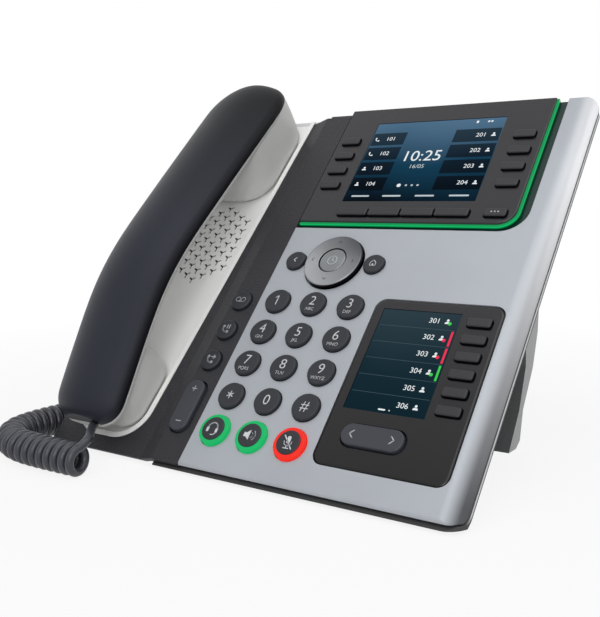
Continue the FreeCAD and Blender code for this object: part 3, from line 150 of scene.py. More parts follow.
def tinted(material, share, other, socket="Base Color"):
    """Runs a material's own colour into another one as a share goes from one to zero."""
    tree = material.node_tree
    colour = tree.nodes["Principled BSDF"].inputs[socket]
    blend = node_of(tree, "ShaderNodeMix", data_type="RGBA")
    tree.links.new(share, blend.inputs["Factor"])
    blend.inputs[6].default_value = (*other, 1.0)
    tree.links.new(colour.links[0].from_socket, blend.inputs[7])
    tree.links.new(blend.outputs[2], colour)
    return material


def lit(name, colour, strength, base=None, rough=0.4, specular=0.3):
    """A lit surface whose light is a little uneven."""
    material = plastic(name, base or shade(colour, 0.6), rough, bump=0.02, specular=specular)
    tree = material.node_tree
    shader = tree.nodes["Principled BSDF"]
    shader.inputs["Emission Strength"].default_value = strength
    uneven = noise(tree, 60.0, 2.0)
    glow = ramp(tree, uneven.outputs["Fac"], [(0.3, shade(colour, 0.9)), (0.7, colour)])
    tree.links.new(glow, shader.inputs["Emission Color"])
    return material


def screen(name, low, middle, high):
    """A lit screen whose colour runs from its lower to its upper edge with a soft cloud in it."""
    material = lit(name, high, 1.0, (0.001, 0.001, 0.0015), 0.2, 0.01)
    tree = material.node_tree
    shader = tree.nodes["Principled BSDF"]
    place = node_of(tree, "ShaderNodeTexCoord")
    parts = node_of(tree, "ShaderNodeSeparateXYZ")
    tree.links.new(place.outputs["Generated"], parts.inputs["Vector"])
    cloud = noise(tree, 16.0, 1.0)
    mixed = node_of(tree, "ShaderNodeMath", operation="MULTIPLY_ADD")
    mixed.inputs[1].default_value = 0.5
    tree.links.new(cloud.outputs["Fac"], mixed.inputs[0])
    tree.links.new(parts.outputs["Z"], mixed.inputs[2])
    scaled = node_of(tree, "ShaderNodeMath", operation="MULTIPLY")
    scaled.inputs[1].default_value = 0.72
    tree.links.new(mixed.outputs["Value"], scaled.inputs[0])
    glow = ramp(tree, scaled.outputs["Value"], [(0.18, low), (0.52, middle), (0.92, high)])
    tree.links.new(glow, shader.inputs["Emission Color"])
    return material


def lean_share(tree, low, high, way=OUT):
    """One where a face looks along a direction and zero where it looks aside."""
    face = node_of(tree, "ShaderNodeNewGeometry")
    lean = node_of(tree, "ShaderNodeVectorMath", operation="DOT_PRODUCT")
    lean.inputs[1].default_value = way
    tree.links.new(face.outputs["Normal"], lean.inputs[0])
    share = node_of(tree, "ShaderNodeMapRange")
    share.inputs["From Min"].default_value = low
    share.inputs["From Max"].default_value = high
    tree.links.new(lean.outputs["Value"], share.inputs["Value"])
    return share.outputs["Result"]


def shaded_walls_key(name, top, wall_shade, rough=0.3, metal=0.35, specular=0.5):
    """A plastic key whose top has one colour and whose walls are painted in another, darker one as painted
    shade.
    """
    material = plastic(name, top, rough, 2200.0, 0.05, 0.03, metal=metal, specular=specular)
    return tinted(material, lean_share(material.node_tree, 0.25, 0.5), wall_shade)


def falling_shade_and_highlight(material, low, high):
    """Paints the edge that falls to the right with painted shade near the front and a painted highlight at
    the back.
    """
    tree = material.node_tree
    edge = ramp(tree, measure(tree, UP_SLOPE, ORIGIN, 10.0, 170.0), [(0.0, low), (1.0, high)])
    colour = tree.nodes["Principled BSDF"].inputs["Base Color"]
    blend = node_of(tree, "ShaderNodeMix", data_type="RGBA")
    tree.links.new(lean_share(tree, -0.55, -0.1, -ACROSS), blend.inputs["Factor"])
    tree.links.new(edge, blend.inputs[6])
    tree.links.new(colour.links[0].from_socket, blend.inputs[7])
    tree.links.new(blend.outputs[2], colour)
    return material


def rim_lines(material):
    """Paints the dark rim of the housing and the thin bright line that runs along it."""
    tree = material.node_tree
    depth = measure(tree, OUT, ORIGIN, -9.0, -4.0)
    white = (1.0, 1.0, 1.0)
    black = (0.0, 0.0, 0.0)
    material = tinted(material, ramp(tree, depth, [(0.34, white), (0.36, black)]), (0.006, 0.006, 0.007))
    line = ramp(tree, depth, [(0.54, white), (0.57, black), (0.79, black), (0.82, white)])
    return tinted(material, line, (0.62, 0.63, 0.65))


def round_glow(material, other):
    """Lights the upper part of the bar's wall most, as in a round light guide."""
    tree = material.node_tree
    depth = measure(tree, OUT, ORIGIN, -2.6, -0.8)
    levels = ((0.0, 0.05), (0.4, 0.35), (0.65, 1.0), (0.9, 1.0), (0.98, 0.45))
    share = ramp(tree, depth, [(position, (level, level, level)) for position, level in levels])
    return tinted(material, share, other, "Emission Color")


def spun(material, x, s, pitch):
    """Adds the fine round grooves of a turned metal face about a place on the panel."""
    tree = material.node_tree
    place = node_of(tree, "ShaderNodeTexCoord")
    offset = node_of(tree, "ShaderNodeVectorMath", operation="DISTANCE")
    offset.inputs[1].default_value = panel(x, s, NAV_TOP)
    tree.links.new(place.outputs["Object"], offset.inputs[0])
    turns = node_of(tree, "ShaderNodeMath", operation="MULTIPLY")
    turns.inputs[1].default_value = 2 * math.pi / (pitch * MM)
    tree.links.new(offset.outputs["Value"], turns.inputs[0])
    wave = node_of(tree, "ShaderNodeMath", operation="SINE")
    tree.links.new(turns.outputs["Value"], wave.inputs[0])
    relief = tree.nodes["Bump"]
    relief.inputs["Strength"].default_value = 0.35
    relief.inputs["Distance"].default_value = 0.00004
    tree.links.new(wave.outputs["Value"], relief.inputs["Height"])
    return material


NAV_X = 8.6
NAV_S = 113.5
NAV_TOP = 2.6
NAV_CENTRE = panel(NAV_X, NAV_S, NAV_TOP) / MM
GROOVE_PITCH = 0.35
DARK_HANDSET = plastic("handset_charcoal", (0.026, 0.028, 0.038), 0.40, 1500.0, 0.10, 0.06, specular=0.10)
# Painted shade: the handset runs darker towards its upper end.
shaded_upper_end = measure(DARK_HANDSET.node_tree, -UP_SLOPE, ORIGIN, -205.0, -110.0)
DARK_HANDSET = tinted(DARK_HANDSET, shaded_upper_end, (0.011, 0.0115, 0.014))
# Painted shade: faces of the handset that look to the right are painted near black.
shaded_right_flank = lean_share(DARK_HANDSET.node_tree, -0.95, -0.45, -ACROSS)
DARK_HANDSET = tinted(DARK_HANDSET, shaded_right_flank, (0.005, 0.005, 0.007))
LIGHT_HANDSET = plastic("handset_grey", (0.60, 0.60, 0.585), 0.38, 1500.0, 0.08, 0.04, specular=0.4)
HOUSING = plastic("housing_grey", (0.34, 0.35, 0.36), 0.45, 1300.0, 0.16, 0.06)
HOUSING = rim_lines(HOUSING)
HOUSING = tinted(HOUSING, measure(HOUSING.node_tree, UP_SLOPE, ORIGIN, 5.0, 9.0), (0.008, 0.008, 0.009))
DECK = plastic("deck_charcoal", (0.028, 0.028, 0.033), 0.50, 1000.0, 0.55, 0.08, specular=0.25)
DECK.node_tree.nodes["Bump"].inputs["Distance"].default_value = 0.0008
SILVER = plastic("cover_silver", (0.385, 0.41, 0.445), 0.36, 2200.0, 0.05, 0.03, metal=0.25)
# Painted shade and painted highlight on the silver cover's right edge: dark near the front, light at the
# back.
SILVER = falling_shade_and_highlight(SILVER, (0.06, 0.062, 0.068), (0.62, 0.63, 0.65))
# Painted shade: the select key's walls are painted near black.
SILVER_KEY = shaded_walls_key("key_silver", (0.20, 0.21, 0.22), (0.006, 0.006, 0.007), 0.34, 0.6, 0.5)
SILVER_KEY = spun(SILVER_KEY, NAV_X, NAV_S, GROOVE_PITCH)
NAV = plastic("nav_silver", (0.36, 0.37, 0.385), 0.30, 2200.0, 0.05, 0.03, metal=0.85, specular=0.3)
# Painted reflection: the nav ring is painted darker towards the upper right and keeps its own light grey
# towards the lower left.
lower_left = (UP_SLOPE + ACROSS) / -2 ** 0.5
NAV = tinted(NAV, measure(NAV.node_tree, lower_left, NAV_CENTRE, -15.0, 13.0), (0.07, 0.073, 0.08))
# Painted shade: the nav ring's walls are painted near black.
NAV = tinted(NAV, lean_share(NAV.node_tree, 0.25, 0.5), (0.004, 0.004, 0.005))
NAV = spun(NAV, NAV_X, NAV_S, GROOVE_PITCH)
BEZEL = plastic("bezel_dark", (0.024, 0.024, 0.027), 0.34, 1800.0, 0.05, 0.05, coat=0.4, specular=0.12)
# Painted shade: the bezels run darker towards the front edge of the panel.
BEZEL = tinted(BEZEL, measure(BEZEL.node_tree, UP_SLOPE, ORIGIN, 15.0, 120.0), (0.004, 0.004, 0.005))
# Painted light: the bezel is painted dark green wherever it lies deeper than about 2.9 mm below the panel
# face, in the channel under the light bar, as the bar's glow falling on it.
BEZEL = tinted(BEZEL, measure(BEZEL.node_tree, OUT, ORIGIN, -2.9, -2.6), (0.002, 0.022, 0.017))
KEY = plastic("key_slate", (0.024, 0.026, 0.032), 0.40, 1500.0, 0.10, 0.06, specular=0.28)
ROCKER = plastic("rocker_slate", (0.042, 0.045, 0.056), 0.40, 1500.0, 0.10, 0.06, specular=0.28)
# Painted shade: the walls of the line, soft, side and more keys are painted near black.
LINE_KEY = shaded_walls_key("key_black", (0.030, 0.030, 0.034), (0.003, 0.003, 0.004), 0.36, 0.0, 0.25)
TRAY = plastic("tray_white", (0.86, 0.86, 0.845), 0.44, 1400.0, 0.10, 0.03)
# Painted shade: the tray is painted near black wherever it lies deeper than about 6.7 mm below the panel
# face, which darkens the grille slots.
TRAY = tinted(TRAY, measure(TRAY.node_tree, OUT, ORIGIN, -6.7, -6.25), (0.03, 0.03, 0.03))
STAND = plastic("stand_grey", (0.40, 0.405, 0.405), 0.5, 1200.0, 0.2, 0.06)
# Painted shade: faces of the stand that do not look to the right are painted dark grey, and the right-facing
# side keeps the light grey.
STAND = tinted(STAND, lean_share(STAND.node_tree, 0.35, 0.75, ACROSS), (0.10, 0.102, 0.104))
RUBBER = plastic("foot_black", (0.016, 0.016, 0.017), 0.72, 1800.0, 0.2, 0.03)
BOARD = plastic("board_green", (0.02, 0.09, 0.045), 0.42, 800.0, 0.08, 0.15)
SPEAKER = plastic("speaker_black", (0.012, 0.012, 0.013), 0.5, 1200.0, 0.12, 0.1)
CORD = plastic("cord_black", (0.036, 0.037, 0.048), 0.34, 1600.0, 0.10, 0.1, specular=0.45)
GLOW_GREEN = lit("light_guide_green", (0.006, 0.52, 0.14), 1.0, (0.002, 0.05, 0.02), 0.25, 0.1)
GLOW_GREEN = round_glow(GLOW_GREEN, (0.0, 0.02, 0.008))
RING_GREEN = lit("ring_green", (0.004, 0.42, 0.11), 1.0, (0.004, 0.06, 0.025), 0.25, 0.15)
RING_RED = lit("ring_red", (0.85, 0.020, 0.010), 1.0, (0.10, 0.008, 0.006), 0.25, 0.15)
SCREEN_BLUE = screen("screen_blue", (0.0, 0.003, 0.007), (0.004, 0.042, 0.082), (0.085, 0.17, 0.27))
SCREEN_BOX = screen("screen_box", (0.0, 0.003, 0.007), (0.003, 0.012, 0.023), (0.018, 0.038, 0.058))
SCREEN_SIDE = screen("screen_slate", (0.002, 0.014, 0.022), (0.006, 0.022, 0.032), (0.024, 0.045, 0.058))
RULE = lit("screen_rule", (0.06, 0.10, 0.12), 0.8, (0.01, 0.012, 0.016), 0.2, 0.03)
SCREEN_WHITE = lit("screen_white", (0.85, 0.90, 0.92), 0.95, (0.05, 0.05, 0.05), 0.2, 0.03)
SCREEN_SOFT = lit("screen_soft", (0.55, 0.62, 0.66), 0.9, (0.05, 0.05, 0.05), 0.2, 0.03)
STATUS_RED = lit("status_red", (0.80, 0.03, 0.09), 0.95, (0.1, 0.01, 0.01), 0.2, 0.03)
STATUS_GREEN = lit("status_green", (0.05, 0.58, 0.07), 0.95, (0.01, 0.1, 0.02), 0.2, 0.03)
INK = plastic("print_white", (0.62, 0.64, 0.66), 0.5, 900.0, 0.0, 0.03)
INK_GREY = plastic("print_grey", (0.45, 0.47, 0.49), 0.5, 900.0, 0.0, 0.03)
INK_DARK = plastic("print_dark", (0.03, 0.03, 0.035), 0.5, 900.0, 0.0, 0.03)


NODE_MATERIALS = {
    "rear_housing": HOUSING,
    "rubber_feet": RUBBER,
    "front_cover": SILVER,
    "main_bezel": BEZEL,
    "light_bar": GLOW_GREEN,
    "main_display": SCREEN_BLUE,
    "side_bezel": BEZEL,
    "side_display": SCREEN_SIDE,
    "side_deck": DECK,
    "cradle_tray": TRAY,
    "hook_switch": TRAY,
    "loudspeaker": SPEAKER,
    "circuit_board": BOARD,
    "stand": STAND,
    "handset_back": DARK_HANDSET,
    "handset_front": LIGHT_HANDSET,
    "handset_cord": CORD,
    "nav_ring": NAV,
    "volume_rocker": ROCKER,
    "page_rocker": ROCKER,
    "select_key": SILVER_KEY,
    "headset_key": RING_GREEN,
    "speaker_key": RING_GREEN,
    "mute_key": RING_RED,
}
for node_name, node_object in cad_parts.items():
    node_object.data.materials.clear()
    plain = LINE_KEY if node_name.startswith(("line_key", "soft_key", "side_key", "more_key")) else KEY
    node_object.data.materials.append(NODE_MATERIALS.get(node_name, plain))


# Handset cord: a helix about a route on the desk. The coil and its rear tail are one tube, and the
# front tail is another.
CORD_DIAMETER = 3.9
COIL_RADIUS = 5.5
COIL_PITCH = 4.5
COIL_LEVEL = 7.6
COIL_ROUTE = ((-51.5, -25), (-80, -26.5), (-100, -24), (-112.5, -14.5), (-117.5, 1), (-118, 18), (-117.5, 32))


def spline_curve(name, points, thickness=0.0, steps=4):
    """A smooth open curve with these points as its control points."""
    curve = bpy.data.curves.new(name, "CURVE")
    curve.dimensions = "3D"
    curve.resolution_u = steps
    curve.bevel_depth = thickness / 2
    curve.bevel_resolution = 5
    curve.use_fill_caps = True
    spline = curve.splines.new("NURBS")
    spline.points.add(len(points) - 1)
    for point, place in zip(spline.points, points):
        point.co = (*place, 1.0)
    spline.order_u = 3
    spline.use_endpoint_u = True
    piece = bpy.data.objects.new(name, curve)
    bpy.context.collection.objects.link(piece)
    return piece


def read_mesh(piece):
    """The mesh of a curve as it stands."""
    bpy.context.view_layer.update()
    return bpy.data.meshes.new_from_object(piece.evaluated_get(bpy.context.evaluated_depsgraph_get()))


def read_line(points):
    """Points along the smooth curve through a route."""
    piece = spline_curve("route", points, steps=24)
    mesh = read_mesh(piece)
    line = [vertex.co.copy() for vertex in mesh.vertices]
    bpy.data.objects.remove(piece)
    bpy.data.meshes.remove(mesh)
    return line


def helix_points(line):
    """Control points of the helix about a line, sixteen to a turn."""
    per_turn = 16
    points = []
    turned = math.pi / 2
    due = turned
    for before, here, after in zip(line, line[1:], line[2:]):
        way = (after - before).normalized()
        bend = (here - before).angle(after - here, 0.0) / (after - before).length * 2
        pitch = COIL_PITCH * MM / (1 - 1.1 * COIL_RADIUS * MM * bend)
        parts = 40
        for part in range(parts):
            place = here.lerp(after, part / parts)
            if turned >= due:
                side = way.cross(Vector((0, 0, 1)))
                radial = side * math.cos(turned) + Vector((0, 0, math.sin(turned)))
                points.append(place + radial * COIL_RADIUS * 1.02 * MM)
                due += 2 * math.pi / per_turn
            turned += 2 * math.pi / pitch * (after - here).length / parts
    return points


def place(x, y, z):
    """A place on the desk, with y from the slab's front edge."""
    return Vector((x, PANEL_FRONT + y, z)) * MM


def seam_height(s):
    """Height of the handset's seam over the panel."""
    t = s - 79.5
    return 31.4 + 0.1 * t - 0.195 * math.hypot(t, 21.0)


coil = helix_points(read_line([place(x, y, COIL_LEVEL) for x, y in COIL_ROUTE]))
coil = coil[:16 * ((len(coil) - 13) // 16) + 13]
jack = panel(-78, 42, -28)
rear_tail = [
    place(-110, 36, 2.2), place(-101, 43, 2.8), place(-95, 51, 4.2), place(-89, 58.5, 5.6),
    place(-82, 60.5, 8.0), place(-78.2, 57, 10.6), jack - OUT * 4 * MM, jack,
]
EXIT_S = 8.29
EXIT_W = seam_height(EXIT_S) - 1.95
handset_exit = panel(-74, EXIT_S + 6.7, EXIT_W - 1.5)
front_tail = [
    handset_exit, handset_exit - UP_SLOPE * 4 * MM, place(-69, -4.5, 15.2), place(-60.5, -13, 16.6),
    place(-53, -20.5, 16.2), coil[0], coil[1],
]


def tube(name, points, steps=4):
    """A round tube along a smooth curve, as a mesh."""
    curve = spline_curve(name + "_curve", points, CORD_DIAMETER * MM, steps)
    mesh = read_mesh(curve)
    bpy.data.objects.remove(curve)
    mesh.name = name
    for polygon in mesh.polygons:
        polygon.use_smooth = True
    mesh.materials.clear()
    mesh.materials.append(CORD)
    piece = bpy.data.objects.new(name, mesh)
    bpy.context.collection.objects.link(piece)
    return piece


cord_route = list(reversed(coil + rear_tail))
cord_piece = tube("curly_cord", cord_route)
tail_piece = tube("curly_cord_tail", front_tail, 16)
cord_line = read_line(cord_route)
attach(cord_piece, "base")
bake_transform(tail_piece)
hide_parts("handset_cord")


# Printed marks and screen contents are thin pieces drawn in millimetres about their own centre.
def block(x0, y0, x1, y1):
    return [[(x0, y0), (x1, y0), (x1, y1), (x0, y1)]]


def round_block(x0, y0, x1, y1, corner):
    outline = []
    for cx, cy, start in ((x1 - corner, y1 - corner, 0), (x0 + corner, y1 - corner, 90),
                          (x0 + corner, y0 + corner, 180), (x1 - corner, y0 + corner, 270)):
        for step in range(6):
            angle = math.radians(start + 18 * step)
            outline.append((cx + corner * math.cos(angle), cy + corner * math.sin(angle)))
    return [outline]


def disc(x, y, radius, count=24):
    turns = [2 * math.pi * i / count for i in range(count)]
    return [[(x + radius * math.cos(a), y + radius * math.sin(a)) for a in turns]]


def stroke(points, width):
    """A line of even width with round joints."""
    shapes = []
    for (x0, y0), (x1, y1) in zip(points, points[1:]):
        length = math.hypot(x1 - x0, y1 - y0)
        nx = -(y1 - y0) / length * width / 2
        ny = (x1 - x0) / length * width / 2
        shapes.append([(x0 - nx, y0 - ny), (x1 - nx, y1 - ny), (x1 + nx, y1 + ny), (x0 + nx, y0 + ny)])
    for x, y in points:
        shapes += disc(x, y, width / 2, 10)
    return shapes


def arc(x, y, radius, start, end, count=14):
    turns = [math.radians(start + (end - start) * i / count) for i in range(count + 1)]
    return [(x + radius * math.cos(a), y + radius * math.sin(a)) for a in turns]


def letters(text, height, x=0.0, y=0.0, align="CENTER", bold=-0.010):
    """Outlines of plain lettering, whose strokes are widened by a share of its height."""
    curve = bpy.data.curves.new("lettering", "FONT")
    curve.body = text
    curve.size = height * 1.4
    curve.align_x = align
    curve.align_y = "CENTER"
    curve.resolution_u = 4
    curve.offset = bold * height
    piece = bpy.data.objects.new("lettering", curve)
    bpy.context.collection.objects.link(piece)
    mesh = read_mesh(piece)
    shapes = []
    for polygon in mesh.polygons:
        shapes.append([(mesh.vertices[i].co.x + x, mesh.vertices[i].co.y + y) for i in polygon.vertices])
    bpy.data.objects.remove(piece)
    bpy.data.meshes.remove(mesh)
    return shapes


def printed(name, shapes, x, s, w, material, body, thick=0.03):
    """A thin printed piece on the panel that moves with a body."""
    maker = bmesh.new()
    for shape in shapes:
        low = [maker.verts.new((px, py, 0.0)) for px, py in shape]
        high = [maker.verts.new((px, py, thick)) for px, py in shape]
        maker.faces.new(high)
        maker.faces.new(list(reversed(low)))
        for i in range(len(low)):
            j = (i + 1) % len(low)
            maker.faces.new((low[i], low[j], high[j], high[i]))
    bmesh.ops.transform(maker, matrix=panel_matrix(x, s, w), verts=maker.verts)
    bmesh.ops.recalc_face_normals(maker, faces=maker.faces)
    mesh = bpy.data.meshes.new(name)
    maker.to_mesh(mesh)
    maker.free()
    mesh.materials.append(material)
    piece = bpy.data.objects.new(name, mesh)
    bpy.context.collection.objects.link(piece)
    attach(piece, body)
    return piece


def lathed(name, profile, x, s, w, material, body, count=48):
    """A turned piece on the panel: a profile of radius and height about its own axis."""
    maker = bmesh.new()
    rows = []
    for radius, height in profile:
        turns = [2 * math.pi * i / count for i in range(count)]
        rows.append([maker.verts.new((radius * math.cos(a), radius * math.sin(a), height)) for a in turns])
    for lower, upper in zip(rows, rows[1:]):
        for i in range(count):
            j = (i + 1) % count
            maker.faces.new((lower[i], lower[j], upper[j], upper[i]))
    maker.faces.new(rows[-1])
    maker.faces.new(list(reversed(rows[0])))
    bmesh.ops.transform(maker, matrix=panel_matrix(x, s, w), verts=maker.verts)
    bmesh.ops.recalc_face_normals(maker, faces=maker.faces)
    mesh = bpy.data.meshes.new(name)
    maker.to_mesh(mesh)
    maker.free()
    for polygon in mesh.polygons:
        polygon.use_smooth = len(polygon.vertices) == 4
    mesh.materials.append(material)
    piece = bpy.data.objects.new(name, mesh)
    bpy.context.collection.objects.link(piece)
    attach(piece, body)
    return piece


# Marks on the keys
DIGIT_X = 7.75
DIGIT_S = 72.0
PITCH_X = 19.7
PITCH_S = 17.28
KEY_TOP = 1.8
FUNCTION_X = -32.5
KEYPAD = (
    (("1", ""), ("2", "ABC"), ("3", "DEF")),
    (("4", "GHI"), ("5", "JKL"), ("6", "MNO")),
    (("7", "PQRS"), ("8", "TUV"), ("9", "WXYZ")),
    (("star", ""), ("0", ""), ("hash", "")),
)


def star_sign():
    shapes = []
    for turn in range(3):
        angle = math.radians(90 + 60 * turn)
        x = 1.7 * math.cos(angle)
        y = 1.7 * math.sin(angle)
        shapes += stroke([(-x, -y), (x, y)], 0.45)
    return shapes


def keypad_marks():
    for row, keys in enumerate(KEYPAD):
        for column, (name, small) in enumerate(keys):
            lift = 1.0 if small else 0.0
            if name == "star":
                shapes = star_sign()
            elif name == "1":
                shapes = stroke([(-1.0, 1.5), (0.35, 2.4), (0.35, -2.4)], 0.5)
            else:
                shapes = letters(name.replace("hash", "#"), 5.0, 0.0, lift)
            if small:
                shapes += letters(small, 1.7, 0.0, -3.4)
            x = DIGIT_X + (column - 1) * PITCH_X
            s = DIGIT_S + (1 - row) * PITCH_S
            printed(f"mark_{name}", shapes, x, s, KEY_TOP, INK, f"key_{name}")


def headset_icon():
    shapes = stroke(arc(0, 0.2, 2.4, 0, 180), 0.55)
    shapes += round_block(-3.0, -2.0, -1.7, 0.4, 0.5) + round_block(1.7, -2.0, 3.0, 0.4, 0.5)
    return shapes + stroke([(2.4, -2.0), (1.6, -3.0), (0.2, -3.1)], 0.5)


def speaker_icon():
    shapes = [[(-2.8, -1.0), (-1.5, -1.0), (0.2, -2.4), (0.2, 2.4), (-1.5, 1.0), (-2.8, 1.0)]]
    shapes += stroke(arc(0.2, 0, 1.5, -45, 45), 0.5)
    return shapes + stroke(arc(0.2, 0, 2.8, -45, 45), 0.5)


def mute_icon():
    shapes = round_block(-0.9, -0.6, 0.9, 2.8, 0.85)
    shapes += stroke(arc(0, 0.2, 1.8, 180, 360), 0.5)
    shapes += stroke([(0, -1.6), (0, -2.8)], 0.5) + stroke([(-1.2, -2.8), (1.2, -2.8)], 0.5)
    return shapes + stroke([(-2.6, 2.8), (2.6, -2.8)], 0.55)


def house_icon():
    walls = stroke([(-1.4, 0.3), (0, 1.6), (1.4, 0.3), (1.4, -1.4), (-1.4, -1.4), (-1.4, 0.3)], 0.34)
    return walls + block(-0.4, -1.4, 0.4, -0.4)


def chevron(way, reach=1.6):
    tip = reach * 0.5 * way
    return stroke([(-tip, reach), (tip, 0), (-tip, -reach)], 0.5)


def message_icon():
    shapes = stroke(arc(-1.5, 0.2, 1.2, 0, 360, 20), 0.4) + stroke(arc(1.5, 0.2, 1.2, 0, 360, 20), 0.4)
    return shapes + stroke([(-1.5, -1.0), (1.5, -1.0)], 0.4)


def receiver(scale=1.0):
    """A small handset seen from the side."""
    points = arc(0.6 * scale, 0.6 * scale, 2.2 * scale, 160, 290)
    ends = disc(*points[0], 0.75 * scale, 12) + disc(*points[-1], 0.75 * scale, 12)
    return stroke(points, 0.7 * scale) + ends


def hold_icon():
    return receiver() + stroke([(0.5, 0.4), (0.5, 2.4)], 0.45) + stroke([(1.7, 0.4), (1.7, 2.4)], 0.45)


def transfer_icon():
    arrow = stroke([(0.0, 1.4), (2.3, 1.4)], 0.45)
    return receiver() + arrow + stroke([(1.4, 2.3), (2.4, 1.4), (1.4, 0.5)], 0.45)


def clock_icon():
    return stroke(arc(0, 0, 2.4, 0, 360, 28), 0.4) + stroke([(0, 1.4), (0, 0), (1.1, -0.5)], 0.4)


def key_marks():
    ring_s = DIGIT_S - 3 * PITCH_S
    cap = [(5.5, 0.0), (5.5, 0.25), (5.25, 0.45), (4.6, 0.52), (2.4, 0.42), (0.6, 0.40)]
    for column, (name, icon) in enumerate((("headset_key", headset_icon), ("speaker_key", speaker_icon),
                                            ("mute_key", mute_icon))):
        x = DIGIT_X + (column - 1) * PITCH_X
        lathed(f"cap_{name}", cap, x, ring_s, KEY_TOP, KEY, name)
        printed(f"mark_{name}", icon(), x, ring_s, KEY_TOP + 0.53, INK, name)
    side_reach = 21.35
    printed("mark_back", chevron(-1, 1.1), NAV_X - side_reach, NAV_S, KEY_TOP, INK, "back_key")
    printed("mark_home", house_icon(), NAV_X + side_reach, NAV_S, KEY_TOP, INK, "home_key")
    printed("mark_select", clock_icon(), NAV_X, NAV_S, NAV_TOP, INK, "select_key")
    marks = []
    for turn in range(4):
        angle = math.radians(90 * turn)
        ahead = (math.cos(angle), math.sin(angle))
        points = []
        for px, py in ((-0.8, -0.5), (0.0, 0.4), (0.8, -0.5)):
            away = 10.9 + py
            points.append((away * ahead[0] + px * ahead[1], away * ahead[1] - px * ahead[0]))
        marks += stroke(points, 0.32)
    printed("mark_nav", marks, NAV_X, NAV_S, NAV_TOP, INK_DARK, "nav_ring")
    for i, (name, icon) in enumerate((("voicemail_key", message_icon), ("hold_key", hold_icon),
                                      ("transfer_key", transfer_icon))):
        s = 70.8 + (1 - i) * 17.08
        printed(f"mark_{name}", icon(), FUNCTION_X, s, KEY_TOP, INK_GREY, name)
    volume = stroke([(-1.3, 8.4), (1.3, 8.4)], 0.45)
    volume += stroke([(0, 7.1), (0, 9.7)], 0.45)
    volume += stroke([(-1.3, -8.4), (1.3, -8.4)], 0.45)
    printed("mark_volume", volume, FUNCTION_X, 29.2, 2.0, INK_GREY, "volume_rocker")
    pages = [[(x - 9.0, y) for x, y in shape] for shape in chevron(-1)]
    pages += [[(x + 9.0, y) for x, y in shape] for shape in chevron(1)]
    printed("mark_page", pages, 62.3, 29.0, 1.6, INK_GREY, "page_rocker")
    dots = disc(-1.6, 0, 0.42) + disc(0, 0, 0.42) + disc(1.6, 0, 0.42)
    printed("mark_more", dots, 78.5, 144.9, 1.6, INK_GREY, "more_key")


def person_icon(x, y, scale=1.0):
    """A head and shoulders."""
    shapes = disc(x, y + 0.75 * scale, 0.62 * scale, 14)
    return shapes + [[(x + px * scale, y + py * scale) for px, py in
                      ((-1.2, -1.1), (1.2, -1.1), (1.15, -0.5), (0.6, -0.05), (-0.6, -0.05), (-1.15, -0.5))]]


SCREEN_W = -0.3


def main_screen():
    left, bottom, width, length = -3.6, 152.5, 70.0, 54.0
    rows = [length * (1 - share) for share in (0.21, 0.40, 0.59, 0.785)]
    boxes = []
    white = []
    soft = []
    for i, y in enumerate(rows):
        boxes += block(0.4, y - 4.3, 19.4, y + 4.3) + block(46.0, y - 4.3, width - 0.4, y + 4.3)
        if i < 2:
            white += [[(px + 3.4, py + y) for px, py in shape] for shape in receiver(0.62)]
            white += letters(("101", "102")[i], 2.6, 11.2, y, bold=0.0)
        else:
            white += person_icon(3.6, y, 0.95)
            white += letters(("103", "104")[i - 2], 2.6, 11.2, y, bold=0.0)
        white += person_icon(width - 3.6, y, 0.95)
        white += letters(("201", "202", "203", "204")[i], 2.6, width - 7.2, y, "RIGHT", 0.0)
    white += letters("10:25", 7.0, 33.0, 29.6, bold=0.0)
    soft += letters("16/05", 2.6, 32.6, 22.8, bold=0.0)
    white += disc(27.5, 10.4, 1.1)
    white += round_block(55.0, 51.0, 56.2, 52.6, 0.3)
    white += disc(61.4, 51.8, 0.6) + disc(63.0, 51.8, 0.6)
    for i in range(3):
        soft += disc(31.4 + 3.1 * i, 10.4, 0.6)
    for x in (8.7, 26.0, 43.5, 61.0):
        soft += round_block(x - 5.0, 3.1, x + 5.0, 4.1, 0.48)
    printed("screen_boxes", boxes, left, bottom, SCREEN_W, SCREEN_BOX, "base", 0.02)
    printed("screen_marks", white, left, bottom, SCREEN_W + 0.02, SCREEN_WHITE, "base", 0.02)
    printed("screen_lines", soft, left, bottom, SCREEN_W + 0.02, SCREEN_SOFT, "base", 0.02)


def side_screen():
    left, bottom, width = 43.9, 40.7, 36.2
    rows = [65.7 - bottom + (2.5 - i) * 8.24 for i in range(6)]
    soft = []
    white = []
    rules = []
    for i, y in enumerate(rows):
        white += letters(str(301 + i), 2.5, 27.8, y, "RIGHT", 0.0)
        white += person_icon(31.0, y, 0.95)
        if i < 5:
            rules += block(0.6, y - 4.22, width - 0.6, y - 4.02)
    red = []
    green = disc(32.2, rows[0] - 0.9, 0.8)
    for i in (1, 2):
        red += block(width - 1.9, rows[i] - 3.6, width - 0.9, rows[i] + 3.6) + disc(32.2, rows[i] - 0.9, 0.8)
    green += block(width - 1.9, rows[3] - 3.6, width - 0.9, rows[3] + 3.6) + disc(32.2, rows[3] - 0.9, 0.8)
    white += round_block(15.4, 1.2, 18.6, 1.9, 0.3)
    soft += disc(20.4, 1.55, 0.35)
    printed("side_rules", rules, left, bottom, SCREEN_W, RULE, "base", 0.02)
    printed("side_lines", soft, left, bottom, SCREEN_W, SCREEN_SOFT, "base", 0.02)
    printed("side_marks", white, left, bottom, SCREEN_W, SCREEN_WHITE, "base", 0.02)
    printed("side_red", red, left, bottom, SCREEN_W + 0.02, STATUS_RED, "base", 0.02)
    printed("side_green", green, left, bottom, SCREEN_W + 0.02, STATUS_GREEN, "base", 0.02)


keypad_marks()
key_marks()
main_screen()
side_screen()


